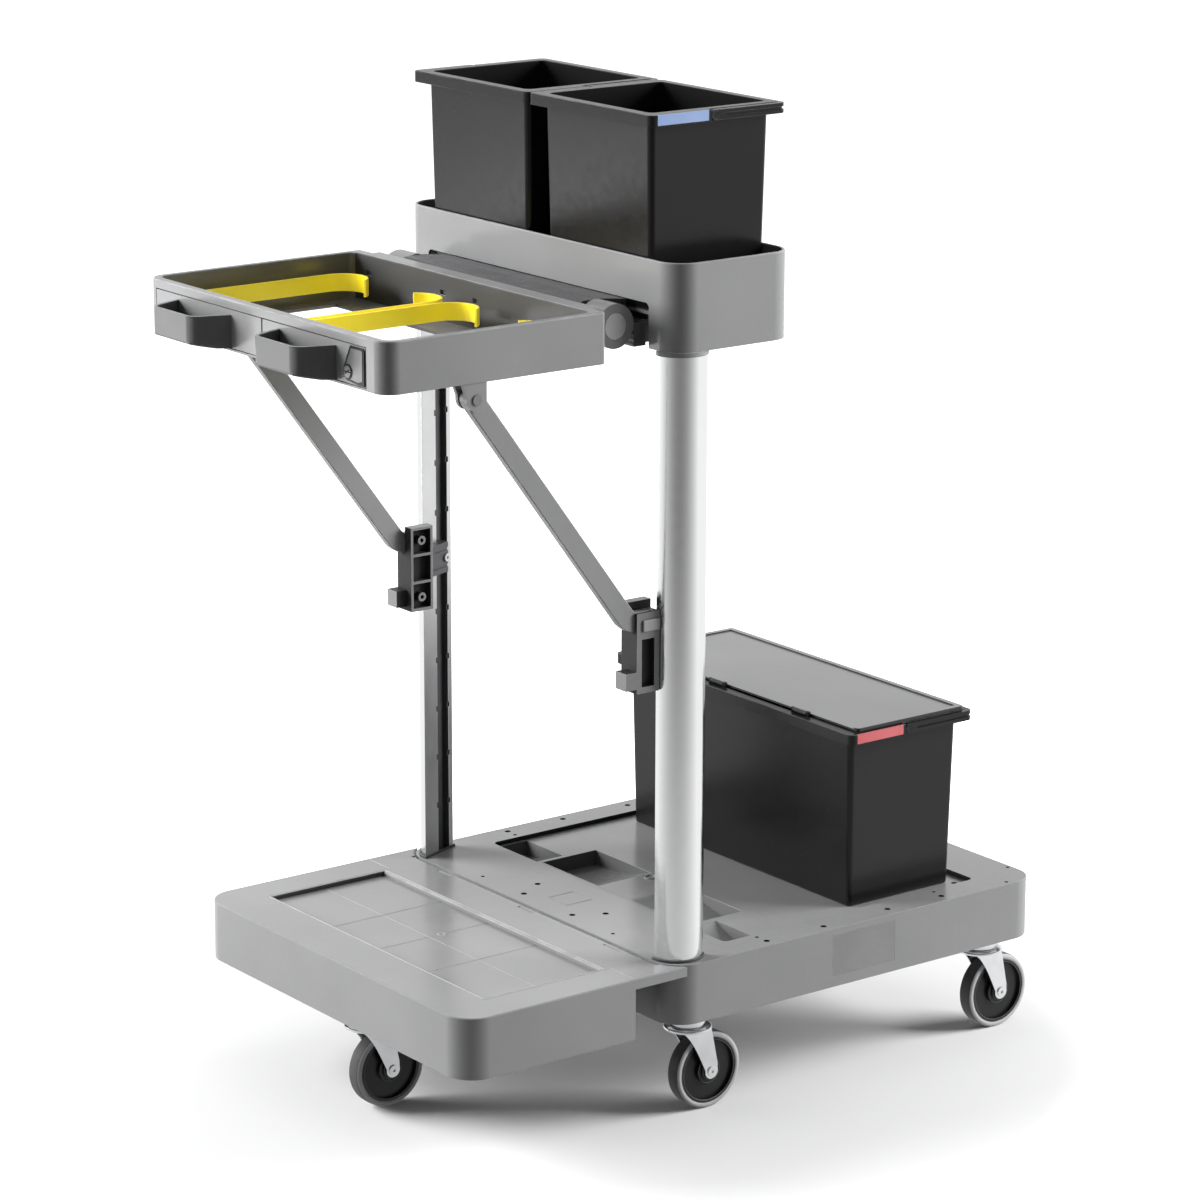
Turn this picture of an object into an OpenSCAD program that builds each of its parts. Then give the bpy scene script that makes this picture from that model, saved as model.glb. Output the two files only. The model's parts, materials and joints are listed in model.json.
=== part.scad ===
// Janitor cart with a fold platform, a hinged bag frame, bins and five castors, in millimetres.

/* [Deck] */
// Width of the deck and the fold platform
deck_width = 580; // [560:1:680]
// Length of the deck
deck_length = 600; // [560:1:720]
// Height of the side skirt
skirt_height = 78; // [66:1:90]
// Radius of the upright deck corners
deck_corner = 38; // [24:1:42]
// Wall thickness of the mouldings
skin = 4; // [3:0.5:5]
// Thickness of the deck top
deck_plate = 10; // [9:1:14]
// Depth of the shallow floor that the lower bin stands in
recess_depth = 6; // [2:0.5:7]
// Distance of that floor inside the deck sides
recess_inset = 43; // [36:1:50]
// Radius of the accessory holes
hole_radius = 4; // [2.5:0.5:6]
// Radius of the small accessory holes
pin_hole_radius = 2.5; // [1.5:0.5:3.5]
// Length of the blank plate on the side
plate_length = 103; // [60:1:140]
// Height of the blank plate
plate_height = 54; // [30:1:58]
// Thickness of the blank plate
plate_thickness = 1; // [0.6:0.2:2]

/* [Fold platform] */
// Length of the fold platform
platform_length = 312; // [280:1:340]
// Length of the thin plate behind the platform skirt
hinge_plate_length = 58; // [45:1:70]
// Thickness of that plate
hinge_plate = 13; // [11:0.5:15]
// Radius of the hinge bead along the seam
bead_radius = 8; // [7:0.5:9]
// Radius of the hinge rod
rod_radius = 4; // [3:0.5:5]
// Distance of the recessed panel inside the platform sides
panel_inset = 56; // [40:1:90]
// Length of the recessed panel
panel_length = 172; // [120:1:190]
// Depth of the recessed panel
panel_depth = 6; // [2:0.5:7]

/* [Posts and tray] */
// Radius of the round side of a post
post_radius = 33; // [28:0.5:34]
// Distance of the post axes inside the deck sides
post_inset = 43; // [41:0.5:52]
// Distance of the posts behind the deck front
post_margin = 3; // [2.5:0.5:8]
// Distance of the flat side from the post axis
post_flat = 10; // [6:0.5:14]
// Turn of the flat side
flat_turn = 20; // [10:1:30]
// Width of the accessory groove in the flat side
groove_width = 24; // [18:1:28]
// Depth of the accessory groove
groove_depth = 8; // [4:0.5:10]
// Height of the tray bottom above the floor
tray_bottom = 972; // [900:1:1050]
// Height of the tray wall
tray_height = 107; // [80:1:130]
// Length of the tray from front to rear
tray_length = 182; // [160:1:210]
// Height of the tray floor above the tray bottom
tray_floor = 43; // [40:1:50]
// Distance of the ends of the tray notch inside the post axes
notch_inset = 19; // [17:1:24]
// Height of the notch in the tray front
notch_height = 54; // [46:1:60]

/* [Bag frame] */
// Distance of the frame sides outside the post axes
frame_margin = 10; // [7:0.5:18]
// Length of the bag frame
frame_length = 312; // [290:1:340]
// Height of the bag frame
frame_height = 62; // [57:1:66]
// Depth of the frame bottom below the tray bottom
frame_drop = 4; // [2:0.5:6]
// Radius of the front corners of the frame
frame_corner = 22; // [12:1:22]
// Thickness of the frame sides
frame_side = 10; // [8:0.5:12]
// Distance of the hinge axis ahead of the tray
hinge_reach = 47.5; // [46:0.5:52]
// Height of the hinge axis above the frame bottom
hinge_height = 35.5; // [33:0.5:37]
// Radius of the frame knuckles
knuckle_radius = 27; // [24:0.5:28]
// Radius of the hinge shaft
shaft_radius = 9; // [6:0.5:12]
// Radius of the light hinge caps
cap_radius = 16; // [12:0.5:20]

/* [Pull-out fronts] */
// Thickness of a front
front_thickness = 5.5; // [4:0.5:6]
// Height of the recess in the frame that holds the fronts
front_height = 48; // [46:1:50]
// Reach of the handles
handle_reach = 46; // [35:1:55]
// Width of a handle at its root
handle_root = 124; // [110:1:140]
// Width of a handle at its nose
handle_nose = 92; // [70:1:100]
// Height of a handle
handle_height = 40; // [30:1:42]
// Thickness of the loop band
band = 3.5; // [2.5:0.5:5]
// Height of the loop band
band_height = 22; // [16:1:24]
// Radius of the loop ends
loop_radius = 33; // [24:1:40]
// Radius of the lock barrel
lock_radius = 7; // [6:0.5:8]

/* [Struts] */
// Width of a strut
strut_width = 26; // [20:1:28]
// Thickness of a strut
strut_thickness = 12; // [8:0.5:12]
// Radius of the strut pins
strut_pin = 4; // [3:0.5:6]
// Distance of a strut pivot ahead of the hinge axis
pivot_reach = 220.5; // [200:0.5:230]
// Drop of a strut pivot below the frame bottom
pivot_drop = 20; // [18:0.5:24]
// Distance of a strut foot ahead of the tray
foot_reach = 30; // [28:0.5:36]
// Fall of a strut
strut_fall = 303; // [280:1:330]

/* [Bins] */
// Distance of the top bins inside the tray sides
top_bin_inset = 35; // [32:0.5:60]
// Distance of the lower bin inside the deck sides
lower_bin_inset = 44; // [40:0.5:80]
// Overhang of the bin rims over the tray in front and behind
bin_overhang = 11; // [4:0.5:12]
// Height of every bin
bin_height = 236; // [180:1:280]
// Height of the rim band
rim_height = 14; // [13:0.5:18]
// Wall thickness of a bin
bin_wall = 3; // [2:0.5:4]
// Thickness of the bail handle
bail = 7; // [5:0.5:8]
// Radius of the bail pins
bail_pin = 4; // [3:0.5:5]
// Distance of the lower bin ahead of the deck rear
lower_bin_margin = 81.5; // [66:0.5:100]
// Length of a label
label_length = 76; // [50:1:76]
// Thickness of a label
label_thickness = 1.5; // [1:0.1:2]

/* [Castors] */
// Radius of a castor wheel
wheel_radius = 50; // [44:1:55]
// Height of the skirt above the tops of the wheels
castor_gap = 34; // [30:0.5:50]
// Width of a tyre
tyre_width = 22; // [18:1:26]
// Thickness of a tyre
tyre_thickness = 7; // [5:0.5:9]
// Offset of a wheel axle behind its swivel axis
castor_trail = 26; // [20:1:30]
// Distance of the castors inside the deck sides
castor_inset = 50; // [44:1:60]
// Distance of the front castors behind the deck front
castor_front = 60.5; // [58:0.5:70]
// Distance of the rear castors ahead of the deck rear
castor_rear = 55.5; // [50:0.5:70]
// Distance of the platform castor behind the platform front
castor_platform = 58; // [50:0.5:80]
// Radius of the swivel pins
king_radius = 6; // [5:0.5:8]
// Radius of the wheel axles
axle_radius = 4; // [3:0.5:5]

/* [Hidden] */
$fn = 64;

// Clearances: running fit, fixed fit, gap between bodies, and how far cuts and joins run past a face
run_gap = 0.05;
snug = 0.02;
gap = 0.4;
past = 1;

// Colours
grey = [0.47, 0.47, 0.48];
dark = [0.2, 0.2, 0.21];
black = [0.1, 0.1, 0.105];
silver = [0.8, 0.8, 0.82];
zinc = [0.72, 0.73, 0.75];
yellow = [0.9, 0.76, 0.12];

// Heights of the deck and the castors
skirt_bottom = 2 * wheel_radius + castor_gap;
deck_top = skirt_bottom + skirt_height;
fork_drop = 19.5;
fork_top = skirt_bottom - fork_drop;
fork_plate = 3;
flange = 3;
flange_half = 29;
flange_corner = 8;
bearing_radius = 22;
king_head = 4;
boss_radius = 36;
leg_gap = 3;
leg_thickness = 2.5;
leg_in = tyre_width / 2 + leg_gap;
leg_out = leg_in + leg_thickness;
leg_eye = 10;
leg_lead = 21;
leg_back = 25;
fork_radius = 30;
rivet_head = 2.5;
rivet_proud = 2;
hub_radius = wheel_radius - tyre_thickness;
hub_lip = 4;
hub_dish = 5;
hub_ring = 17;
hub_boss = 12;

// Places along the cart, from the front, with the whole cart centred
hinge_lip = 10;
hinge_lip_gap = 0.2;
hinge_clear = knuckle_radius + hinge_lip;
frame_gap = hinge_clear + hinge_lip_gap;
seam_gap = 1;
ahead = post_margin - hinge_reach - frame_gap - frame_length - handle_reach;
behind = max(deck_length, deck_length - castor_rear + castor_trail + wheel_radius);
deck_front = -(ahead + behind) / 2;
deck_rear = deck_front + deck_length;
tray_front = deck_front + post_margin;
tray_rear = tray_front + tray_length;
post_y = tray_front + post_radius;
hinge_y = tray_front - hinge_reach;
frame_rear = hinge_y - frame_gap;
frame_front = frame_rear - frame_length;
seam = deck_front - seam_gap;
platform_front = seam - platform_length;
bead_y = seam - bead_radius;
bead_z = deck_top - bead_radius;
plate_front = seam - hinge_plate_length;
castor_front_y = deck_front + castor_front;
castor_rear_y = deck_rear - castor_rear;
castor_platform_y = platform_front + castor_platform;

// Places across the cart, from the middle
half_deck = deck_width / 2;
half_recess = half_deck - recess_inset;
half_panel = half_deck - panel_inset;
castor_x = half_deck - castor_inset;
post_x = half_deck - post_inset;
half_tray = post_x + post_radius;
half_notch = post_x - notch_inset;
half_frame = post_x + frame_margin;
strut_inset = 14;
strut_x = half_frame - strut_inset;
knuckle_inset = 31;
knuckle_length = 40;
knuckle_gap = 1.5;
knuckle_out = half_frame - knuckle_inset;
knuckle_in = knuckle_out - knuckle_length;
barrel_half = knuckle_in - knuckle_gap;
front_left_inset = 23;
front_right_inset = 37;
front_left_x = front_left_inset - half_frame;
front_right_x = half_frame - front_right_inset;
handle_left_inset = 108;
handle_right_inset = 122;
lock_inset = 34;
handle_left_x = front_left_x + handle_left_inset;
handle_right_x = front_right_x - handle_right_inset;
lock_x = front_right_x - lock_inset;

// Deck details
scoop_in = 34;
scoop_split = 155;
scoop_rib = 7;
scoop_margin = 5;
scoop_out = half_recess - scoop_margin;
scoop_setback = 115;
scoop_length = 100;
scoop_front = deck_front + scoop_setback;
scoop_rear = scoop_front + scoop_length;
scoop_step = 13;
side_scoop = 50;
scoop_depth = 26;
recess_lead = 3;
recess_margin = 75;
recess_front = scoop_front - recess_lead;
recess_rear = deck_rear - recess_margin;
recess_corner = 8;
rib_rise = 30;
rib_x = 120;
lug_spots = [-180, 0, 180];
lug_half = 15;
lug_rise = 20;
rod_half = half_deck - deck_corner - skin;
plate_setback = 252;
plate_rise = 15;
plate_y = deck_front + plate_setback;
plate_z = skirt_bottom + plate_rise;
hole_inset_side = 15;
hole_inset_third = 18;
hole_inset_last = 16;
hole_inset_rear = 59;
hole_x_front = 73;
hole_x_near = 52;
hole_first = 157;
hole_second = 249;
hole_third = 357;
hole_last = 446;
hole_rear = 94;
hole_front = 59;
hole_near = 22;
hole_spots = [[half_deck - hole_inset_side, hole_first], [half_deck - hole_inset_side, hole_second],
  [half_deck - hole_inset_third, hole_third], [half_deck - hole_inset_last, hole_last],
  [half_deck - hole_inset_rear, deck_length - hole_rear], [hole_x_front, hole_front],
  [hole_x_near, hole_near]];
pin_inset_first = 33;
pin_inset_second = 34;
pin_inset_edge = 8;
pin_inset_rear = 52;
pin_x_front = 140;
pin_first = 156;
pin_second = 449;
pin_edge = 49;
pin_rear = 7;
pin_front = 20;
pin_hole_spots = [[half_deck - pin_inset_first, pin_first], [half_deck - pin_inset_second, pin_second],
  [half_deck - pin_inset_edge, deck_length - pin_edge],
  [half_deck - pin_inset_rear, deck_length - pin_rear], [pin_x_front, pin_front]];

// Fold platform details
panel_margin = 12;
platform_rib_x = 140;
platform_rib_rise = 20;
tip_lead = 12;
tip_start = half_deck - deck_corner + tip_lead;
tip_gap = 8;
tip_end = deck_front + deck_corner - tip_gap;
tip_clear = 4;

// Posts and tray details
tray_top = tray_bottom + tray_height;
floor_top = tray_bottom + tray_floor;
floor_bottom = floor_top - skin;
half_chord = sqrt(post_radius * post_radius - post_flat * post_flat);
groove_lead = 30;
groove_start = groove_lead - half_chord;
groove_end = groove_start + groove_width;
post_wall = 2.6;
socket_depth = 40;
socket_skin = 2;
socket_lip = 3;
post_foot = deck_top - socket_depth + skin;
post_entry = 25;
post_head = tray_bottom + post_entry;
mark_first = 62;
mark_pitch = 66;
mark_height = 7;
mark_depth = 2;
mark_reach = 3;
collar_height = 6;
collar_skin = 1.4;
notch_corner = 6;

// Bag frame and hinge details
frame_bottom = tray_bottom - frame_drop;
frame_top = frame_bottom + frame_height;
hinge_z = frame_bottom + hinge_height;
barrel_step = 5;
barrel_radius = knuckle_radius - barrel_step;
arm_rise = 7;
arm_drop = 0.5;
arm_bottom = frame_bottom + arm_rise;
arm_top = hinge_z - arm_drop;
arm_gap = 2.5;
arm_inset = 3;
arm_half = knuckle_out - arm_inset;
arm_length = 44;
arm_step = 6;
foot_inset = 20;
foot_half = half_notch - foot_inset;
foot_pad = 30;
arm_rib = 2.5;
arm_rib_pitch = 6;
arm_rib_proud = 1.5;
cover_pitch = 6;
cover_groove = 1.4;
cover_groove_depth = 0.8;
cover_fall = 4.4;
cover_crown = 10;
cover_lip = 8;
cover_edge = 5;
cover_edge_fall = 4;
cover_heel = 20;
cover_lead = 9;
cap_depth = 4;
frame_rear_corner = 5;
inner_corner = 12;
front_wall = 12;
rear_wall = 14;
inner_rear = frame_rear - rear_wall;
ledge = 4;
side_ledge = 24;
rear_ledge = 46;
slot_spots = [-217, -55, 14];
slot_half = 6;
slot_drop = 20;
slot_depth = 3;

// Pull-out front details
front_gap = 1;
front_split = 2.5;
split_half = 1.5;
front_back_gap = 0.5;
front_depth = front_thickness + front_back_gap;
front_rise = 3;
front_bottom = frame_bottom + front_rise;
front_top = front_bottom + front_height;
handle_front = frame_front - handle_reach;
handle_bottom = front_bottom + front_gap;
handle_floor = 7;
nose_flare = 2;
nose_corner = 7;
nose_depth = 8;
band_rise = 20;
band_bottom = frame_bottom + band_rise;
band_clear = 3;
slot_bottom = band_bottom - band_clear;
slot_top = band_bottom + band_height + band_clear;
slot_end = 4;
loop_inset = 68;
loop_end = frame_rear - loop_inset;
loop_side = 5;
hook_angle = 30;
lock_rise = 18;
lock_z = frame_bottom + lock_rise;
lock_stem = 5;
lock_proud = 3.5;
lock_slot = 0.8;
lock_plate_thickness = 1.5;
lock_plate_margin = 2;
tongue = 3;
tongue_half = 4;
tongue_length = 19;

// Strut details
pivot_y = hinge_y - pivot_reach;
pivot_z = frame_bottom - pivot_drop;
foot_y = tray_front - foot_reach;
foot_z = pivot_z - strut_fall;
strut_run = foot_y - pivot_y;
strut_length = sqrt(strut_run * strut_run + strut_fall * strut_fall);
strut_angle = atan2(strut_fall, strut_run);
strut_end_gap = 1;
strut_side_gap = 0.6;
cheek = 5.4;
cheek_radius = 14;
pin_head = 2.5;
pin_head_length = 1.8;
bracket_wall = 4;
bracket_lead = 5;
bracket_gap = 0.6;
bracket_drop = 88;
bracket_rise = 23;
bracket_front = foot_y - bracket_lead;
bracket_rear = tray_front - bracket_gap;
bracket_bottom = foot_z - bracket_drop;
bracket_top = foot_z + bracket_rise;
bracket_rib = 10;
bracket_boss = 6;
bracket_boss_bore = 2.5;
bracket_boss_inset = 18;
cradle_floor = foot_z - strut_width / 2;
cradle_rise = 12;
cradle_top = foot_z + cradle_rise;
toe_length = 16;
toe_low = 6;
toe_high = 28;
window_inset = 8;
clamp_height = 40;
clamp_drop = 50;
clamp_bottom = foot_z - clamp_drop;
clamp_middle = clamp_bottom + clamp_height / 2;
clamp_thickness = 12;
clamp_hook = 9;
clamp_reach = 10;
clamp_slot = 2;
clamp_slot_rise = 11;
screw_along = 2.5;
screw_radius = 3;
screw_head = 2.5;
screw_head_height = 3;
screw_socket = 2;

// Bin details
bin_split = 0.5;
top_bin_width = half_tray - top_bin_inset - bin_split;
half_rim = half_deck - lower_bin_inset;
lower_bin_width = 2 * half_rim;
bin_length = tray_length + 2 * bin_overhang;
lower_bin_y = deck_rear - lower_bin_margin - bin_length;
lower_bin_z = deck_top - recess_depth;
top_bin_y = tray_front - bin_overhang;
bin_corner = 9;
body_corner = 8;
side_clear = 1.5;
side_inset = bin_overhang + side_clear;
end_inset = 17;
side_taper = 5;
end_taper = 4;
bail_gap = 0.6;
bail_y = 97;
bail_eye = rim_height / 2 - bail_gap;
bail_groove = 1.5;
bail_groove_depth = 2;
bail_groove_start = 12;
pin_end_gap = 0.3;
label_start = 10;
label_rise = 1.5;
lid_gap = 0.4;
lid_inset = 8;
lid_rear_inset = 9.5;
lid_plate = 2.6;
lid_border = 1.8;
lid_border_width = 8;
lid_corner = 5;
lid_front = 13;
lid_pin = 1.6;
lid_knuckle = 3.2;
lid_front_gap = 0.6;
clip_length = 26;
clip_post = 3;
clip_post_half = 2.5;
clip_spots = [-40, 130];

// Plan of a rectangle with rounded corners
module round_plan(x0, x1, y0, y1, r) {
  translate([x0 + r, y0]) square([x1 - x0 - 2 * r, y1 - y0]);
  translate([x0, y0 + r]) square([x1 - x0, y1 - y0 - 2 * r]);
  for (x = [x0 + r, x1 - r], y = [y0 + r, y1 - r])
    translate([x, y]) circle(r);
}

// Upright block with rounded corners
module slab(x0, x1, y0, y1, z0, z1, r) {
  translate([0, 0, z0])
    linear_extrude(z1 - z0)
      round_plan(x0, x1, y0, y1, r);
}

// Plain block between two corners
module block(x0, x1, y0, y1, z0, z1) {
  translate([x0, y0, z0]) cube([x1 - x0, y1 - y0, z1 - z0]);
}

// Cylinder along X
module x_rod(x0, x1, y, z, r) {
  translate([x0, y, z]) rotate([0, 90, 0]) cylinder(h = x1 - x0, r = r);
}

// Cylinder along Y
module y_rod(x, y0, y1, z, r) {
  translate([x, y0, z]) rotate([-90, 0, 0]) cylinder(h = y1 - y0, r = r);
}

// Side view in Y and Z drawn out along X
module x_extrude(x0, x1) {
  translate([x0, 0, 0])
    rotate([90, 0, 90])
      linear_extrude(x1 - x0) children();
}

// Both sides of the cart
module both_sides() {
  children();
  mirror([1, 0, 0]) children();
}

// Post outline, round outside and flat inside, for the right side
module post_plan(grow) {
  difference() {
    circle(post_radius + grow);
    rotate(180 - flat_turn)
      translate([grow - post_flat, -2 * post_radius])
        square([3 * post_radius, 4 * post_radius]);
  }
}

// Groove outline in the flat side of a post, for the right side
module groove_plan(start, end, depth, proud) {
  rotate(180 - flat_turn)
    translate([-post_flat - depth, -end])
      square([depth + proud, end - start]);
}

// Post outline drawn out upward at its place
module post_body(z0, z1, grow) {
  translate([post_x, post_y, z0]) linear_extrude(z1 - z0) post_plan(grow);
}

// Holes through the deck top, for the right side
module deck_holes(spots, r) {
  for (spot = spots)
    translate([spot[0], deck_front + spot[1], deck_top - 2 * deck_plate])
      cylinder(h = 3 * deck_plate, r = r);
}

// Scooped pocket, deepest at its outer side, with a round floor
module scoop(x0, x1, y0, y1) {
  depth = scoop_depth - recess_depth;
  r = ((x1 - x0) * (x1 - x0) / depth + depth) / 2;
  intersection() {
    block(x0, x1, y0, y1, deck_top - scoop_depth - past, deck_top);
    y_rod(x1, y0, y1, deck_top - scoop_depth + r, r);
  }
}

// Lug on the deck front that carries the hinge rod
module rod_lug(x) {
  x0 = x - lug_half;
  x1 = x + lug_half;
  block(x0, x1, bead_y - bead_radius, deck_front + past, skirt_bottom + lug_rise, bead_z);
  block(x0, x1, bead_y, deck_front + past, bead_z, bead_z + 5 * bead_radius / 8);
  x_rod(x0, x1, bead_y, bead_z, bead_radius);
}

module deck() {
  rib_low = skirt_bottom + rib_rise;
  rib_high = deck_top - deck_plate / 2;
  cross_rib = (deck_front + deck_rear) / 2;
  color(grey)
    difference() {
      union() {
        difference() {
          slab(-half_deck, half_deck, deck_front, deck_rear, skirt_bottom, deck_top, deck_corner);
          slab(skin - half_deck, half_deck - skin, deck_front + skin, deck_rear - skin,
            skirt_bottom - past, deck_top - deck_plate, deck_corner - skin);
        }
        both_sides()
          for (y = [castor_front_y, castor_rear_y])
            translate([castor_x, y, skirt_bottom])
              cylinder(h = skirt_height - deck_plate + past, r = boss_radius);
        both_sides()
          intersection() {
            post_body(deck_top - socket_depth - skin, deck_top - past, socket_skin + skin);
            slab(-half_deck, half_deck, deck_front, deck_rear, skirt_bottom, deck_top, deck_corner);
          }
        both_sides()
          block(scoop_in - skin, scoop_out + skin, scoop_front - skin, scoop_rear + skin,
            deck_top - scoop_depth - skin, deck_top - recess_depth);
        both_sides()
          block(rib_x - skin / 2, rib_x + skin / 2, deck_front + past, deck_rear - past,
            rib_low, rib_high);
        block(past - half_deck, half_deck - past, cross_rib, cross_rib + skin, rib_low, rib_high);
        for (x = lug_spots) rod_lug(x);
      }
      slab(-half_recess, half_recess, recess_front, recess_rear, deck_top - recess_depth,
        deck_top + past, recess_corner);
      both_sides() scoop(scoop_split + scoop_rib, scoop_out, scoop_front, scoop_front + side_scoop);
      both_sides() scoop(scoop_in, scoop_split, scoop_front + scoop_step, scoop_rear);
      both_sides() deck_holes(hole_spots, hole_radius);
      both_sides() deck_holes(pin_hole_spots, pin_hole_radius);
      both_sides() post_body(deck_top - socket_depth, deck_top + past, socket_skin + snug);
      x_rod(-half_deck, half_deck, bead_y, bead_z, rod_radius + snug);
      block(half_deck - plate_thickness, half_deck + past, plate_y, plate_y + plate_length,
        plate_z, plate_z + plate_height);
    }
}

module blank_plate() {
  color(silver)
    block(half_deck - plate_thickness, half_deck, plate_y + snug, plate_y + plate_length - snug,
      plate_z + snug, plate_z + plate_height - snug);
}

module platform_rod() {
  color(zinc) x_rod(-rod_half, rod_half, bead_y, bead_z, rod_radius);
}

// Outline of the platform with rounded front corners
module platform_plan(inset) {
  corner = deck_corner - inset;
  round_plan(inset - half_deck, half_deck - inset, platform_front + inset, plate_front - inset, corner);
  translate([inset - half_deck, platform_front + 2 * deck_corner])
    square([deck_width - 2 * inset, plate_front - inset - platform_front - 2 * deck_corner]);
}

module fold_platform() {
  panel_rear = plate_front - panel_margin;
  plate_bottom = deck_top - hinge_plate;
  color(grey)
    difference() {
      union() {
        difference() {
          translate([0, 0, skirt_bottom]) linear_extrude(skirt_height) platform_plan(0);
          translate([0, 0, skirt_bottom - past])
            linear_extrude(skirt_height - deck_plate + past) platform_plan(skin);
        }
        translate([0, castor_platform_y, skirt_bottom])
          cylinder(h = skirt_height - deck_plate + past, r = boss_radius);
        both_sides()
          block(platform_rib_x - skin / 2, platform_rib_x + skin / 2, platform_front + past,
            plate_front - past, skirt_bottom + platform_rib_rise, deck_top - deck_plate + past);
        block(-half_deck, half_deck, plate_front - past, bead_y, plate_bottom, deck_top);
        x_rod(-tip_start, tip_start, bead_y, bead_z, bead_radius);
        both_sides()
          difference() {
            block(tip_start, half_deck, bead_y - past, tip_end, plate_bottom, deck_top);
            translate([half_deck - deck_corner, deck_front + deck_corner, 0])
              cylinder(h = deck_top + past, r = deck_corner + tip_clear);
          }
      }
      block(-half_panel, half_panel, panel_rear - panel_length, panel_rear, deck_top - panel_depth,
        deck_top + past);
      for (x = lug_spots)
        block(x - lug_half - gap, x + lug_half + gap, bead_y - bead_radius - skin, seam + past,
          skirt_bottom, deck_top + past);
      x_rod(-rod_half - past, rod_half + past, bead_y, bead_z, rod_radius + run_gap);
    }
}

module post_sockets() {
  color(dark)
    both_sides()
      difference() {
        post_body(deck_top - socket_depth, deck_top + socket_lip, socket_skin);
        post_body(post_foot, deck_top + socket_lip + past, snug);
      }
}

// Post for the right side, with height marks across its groove
module post() {
  length = post_head - post_foot;
  translate([post_x, post_y, 0])
    difference() {
      translate([0, 0, post_foot]) linear_extrude(length) post_plan(0);
      translate([0, 0, post_foot - past])
        linear_extrude(length + 2 * past)
          difference() {
            post_plan(-post_wall);
            groove_plan(groove_start - post_wall, groove_end + post_wall, groove_depth + post_wall, past);
          }
      translate([0, 0, post_foot - past])
        linear_extrude(length + 2 * past) groove_plan(groove_start, groove_end, groove_depth, past);
      for (z = [deck_top + mark_first : mark_pitch : tray_bottom - mark_pitch / 2])
        translate([0, 0, z])
          linear_extrude(mark_height)
            groove_plan(groove_start - mark_reach, groove_end + mark_reach, mark_depth, past);
    }
}

module post_right() {
  color(silver) post();
}

module post_left() {
  color(silver) mirror([1, 0, 0]) post();
}

module post_collars() {
  color(grey)
    both_sides()
      difference() {
        post_body(tray_bottom - collar_height, tray_bottom, collar_skin);
        post_body(tray_bottom - collar_height - past, tray_bottom + past, snug);
      }
}

module tray() {
  corner_x = half_notch - notch_corner;
  corner_z = tray_bottom + notch_height - notch_corner;
  inner_front = tray_front + skin;
  color(grey)
    difference() {
      union() {
        difference() {
          slab(-half_tray, half_tray, tray_front, tray_rear, tray_bottom, tray_top, post_radius);
          slab(skin - half_tray, half_tray - skin, inner_front, tray_rear - skin,
            floor_top, tray_top + past, post_radius - skin);
          slab(skin - half_tray, half_tray - skin, inner_front, tray_rear - skin,
            tray_bottom - past, floor_bottom, post_radius - skin);
        }
        both_sides()
          intersection() {
            post_body(tray_bottom, floor_bottom + past, skin);
            slab(-half_tray, half_tray, tray_front, tray_rear, tray_bottom, tray_top, post_radius);
          }
      }
      both_sides() post_body(tray_bottom - past, post_head, snug);
      block(-half_notch, half_notch, tray_front - past, inner_front + past, tray_bottom - past, corner_z);
      block(-corner_x, corner_x, tray_front - past, inner_front, tray_bottom - past,
        tray_bottom + notch_height);
      both_sides() y_rod(corner_x, tray_front - past, inner_front, corner_z, notch_corner);
    }
}

module hinge_bracket() {
  arm_front = hinge_y + knuckle_radius + arm_gap;
  arm_rear = tray_front + arm_length;
  color(dark)
    difference() {
      union() {
        x_rod(-barrel_half, barrel_half, hinge_y, hinge_z, barrel_radius);
        block(-barrel_half, barrel_half, hinge_y, arm_front + past, arm_bottom + arm_step, arm_top);
        block(-arm_half, arm_half, arm_front, tray_front - gap, arm_bottom, arm_top);
        block(-foot_half, foot_half, tray_front - past, arm_rear, arm_bottom, arm_top);
        block(-foot_half, foot_half, arm_rear - foot_pad, arm_rear, arm_top - past, floor_bottom);
        both_sides()
          for (z = [arm_bottom + 2 : arm_rib_pitch : arm_top - arm_rib])
            block(knuckle_in + past, arm_half, arm_front - arm_rib_proud, arm_front + past,
              z, z + arm_rib);
      }
      x_rod(-barrel_half - past, barrel_half + past, hinge_y, hinge_z, shaft_radius + snug);
    }
}

module hinge_cover() {
  top = frame_top - gap;
  front = hinge_y - barrel_radius - 1;
  crown = hinge_y + cover_crown;
  slope = cover_fall / (tray_front - crown);
  color(dark)
    difference() {
      x_extrude(-barrel_half, barrel_half)
        polygon([[front, hinge_z + cover_lip], [front, top - cover_edge_fall],
          [front + cover_edge, top], [crown, top],
          [tray_front, top - cover_fall], [tray_front, arm_top], [hinge_y + cover_heel, arm_top]]);
      x_rod(-barrel_half - past, barrel_half + past, hinge_y, hinge_z, barrel_radius + snug);
      for (y = [front + cover_lead : cover_pitch : tray_front - cover_pitch])
        block(skin - barrel_half, barrel_half - skin, y, y + cover_groove,
          top - cover_groove_depth - max(0, y + cover_groove - crown) * slope, top + past);
    }
}

module hinge_shaft() {
  end = knuckle_out - cap_depth - 0.5;
  color(zinc) x_rod(-end, end, hinge_y, hinge_z, shaft_radius);
}

module hinge_caps() {
  color([0.6, 0.6, 0.61])
    both_sides() x_rod(knuckle_out - cap_depth, knuckle_out + 0.4, hinge_y, hinge_z, cap_radius);
}

// Outline of the bag frame with rounded corners
module frame_plan() {
  r = frame_rear_corner;
  round_plan(-half_frame, half_frame, frame_front, frame_rear, frame_corner);
  translate([r - half_frame, frame_rear - 2 * frame_corner])
    square([2 * half_frame - 2 * r, 2 * frame_corner]);
  translate([-half_frame, frame_rear - 2 * frame_corner])
    square([2 * half_frame, 2 * frame_corner - r]);
  for (x = [r - half_frame, half_frame - r])
    translate([x, frame_rear - r]) circle(r);
}

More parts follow.
